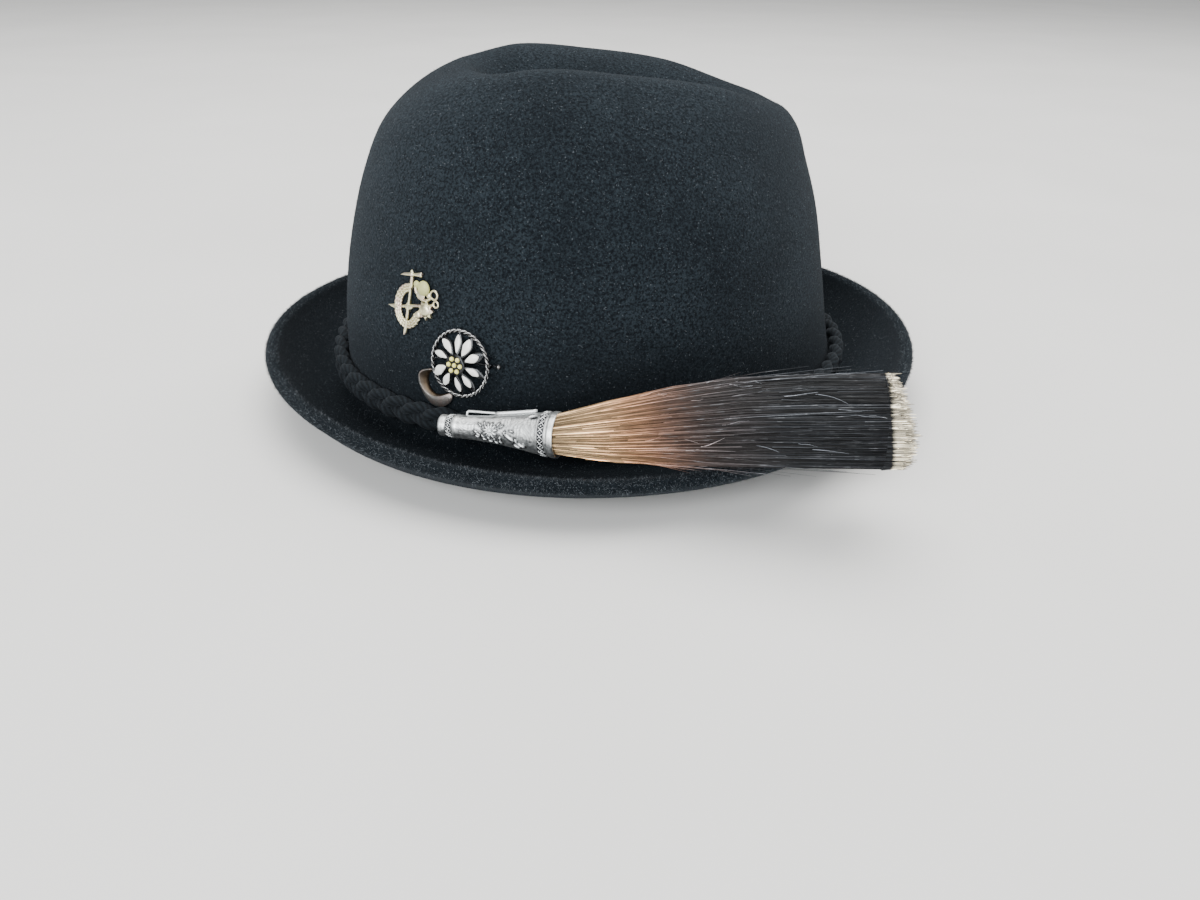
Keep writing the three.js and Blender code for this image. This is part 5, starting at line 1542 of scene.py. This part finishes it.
def felt_nap(material):
    """Fibres over the crown and brim, more of them towards the lip, and longer ones round the lip. Their
    roots lie on the felt's face."""
    draw = np.random.default_rng(NAP_SEED)
    count = LIP_NAP["count"]
    angle = draw.uniform(0, TAU, count)
    turn = draw.uniform(-LIP_NAP_SPREAD, LIP_NAP_SPREAD, count) * np.pi / 2
    middle, along, normal = lip_roll(angle)
    out = np.cos(turn)[:, None] * along + np.sin(turn)[:, None] * normal
    fibres("lip_nap", middle + out * LIP_THICKNESS / 2, out, LIP_NAP, material, NAP_SEED + 1)
    count = CROWN_NAP["count"]
    angle = draw.uniform(0, TAU, count)
    way = 2 * draw.uniform(0.01, 0.95, count) ** 0.7
    normal = skin_normal(angle, way)
    lift = (felt_thickness(way) - FELT_WALL) / 2
    roots = skin(angle, way) + normal * lift[:, None]
    fibres("felt_nap", roots, normal, CROWN_NAP, material, NAP_SEED + 2)


# Stage

def make_camera():
    """The photograph's view: turned about the vertical, tipped down and rolled."""
    data = bpy.data.cameras.new("camera")
    data.sensor_width = SENSOR_WIDTH
    data.lens = CAMERA_FOCAL_PIXELS / FRAME_WIDTH_PIXELS * SENSOR_WIDTH
    camera = in_scene("camera", data)
    turned = Matrix.Rotation(np.radians(-CAMERA_YAW), 4, "Z")
    tipped = Matrix.Rotation(np.radians(90 - CAMERA_PITCH), 4, "X")
    rolled = Matrix.Rotation(np.radians(CAMERA_ROLL), 4, "Z")
    place = Vector((np.array(CAMERA_PLACE) + CROWN_PLACE) * MM)
    camera.matrix_world = Matrix.Translation(place) @ turned @ tipped @ rolled
    bpy.context.scene.camera = camera


def make_floor():
    """A pale square under the hat."""
    mesh = bpy.data.meshes.new("floor")
    half = FLOOR_HALF_SIZE
    corners = [(-half, -half, 0), (half, -half, 0), (half, half, 0), (-half, half, 0)]
    mesh.from_pydata(corners, [], [(0, 1, 2, 3)])
    material, tree = new_material("pale_floor")
    grain = between(tree, noise(tree, 6, detail=2), 0.3, 0.7)
    colour = mixed(tree, grain, (0.76, 0.755, 0.74), (0.80, 0.795, 0.78))
    mesh.materials.append(shaded(material, {"Base Color": colour, "Roughness": 0.7}))
    floor = in_scene("floor", mesh)


def make_light(name, place, size, power, colour):
    """A rectangular light that faces the hat."""
    data = bpy.data.lights.new(name, "AREA")
    data.shape = "RECTANGLE"
    data.size, data.size_y = size
    data.energy = power
    data.color = colour
    light = in_scene(name, data)
    direction = Vector(LIGHT_AIM) - Vector(place)
    facing = direction.to_track_quat("-Z", "Y").to_matrix().to_4x4()
    light.matrix_world = Matrix.Translation(place) @ facing


def make_lights():
    """A large window at the left in front of the hat, a broad light over it and a low one in front, in a
    grey room."""
    for light in LIGHTS:
        make_light(*light)
    world = bpy.data.worlds.new("room")
    world.use_nodes = True
    fill(world.node_tree, world.node_tree.nodes["Background"],
         {"Color": ROOM_COLOUR, "Strength": ROOM_STRENGTH})
    bpy.context.scene.world = world


make_camera()
make_floor()
make_lights()
felt_body(felt_material())
felt_nap(fibre_material())
plaited_band(cord_material())
ferrule(metal_material("silver", **SILVER))
hair_brush(hair_material())
brooch_frame(metal_material("dark_silver", **DARK_SILVER))
brooch_petals(enamel_material("white_enamel", **WHITE_ENAMEL))
brooch_seeds(enamel_material("yellow_enamel", **YELLOW_ENAMEL))
mountain_pin(cast_gold_material())
crescent_pin(tarnished_material())
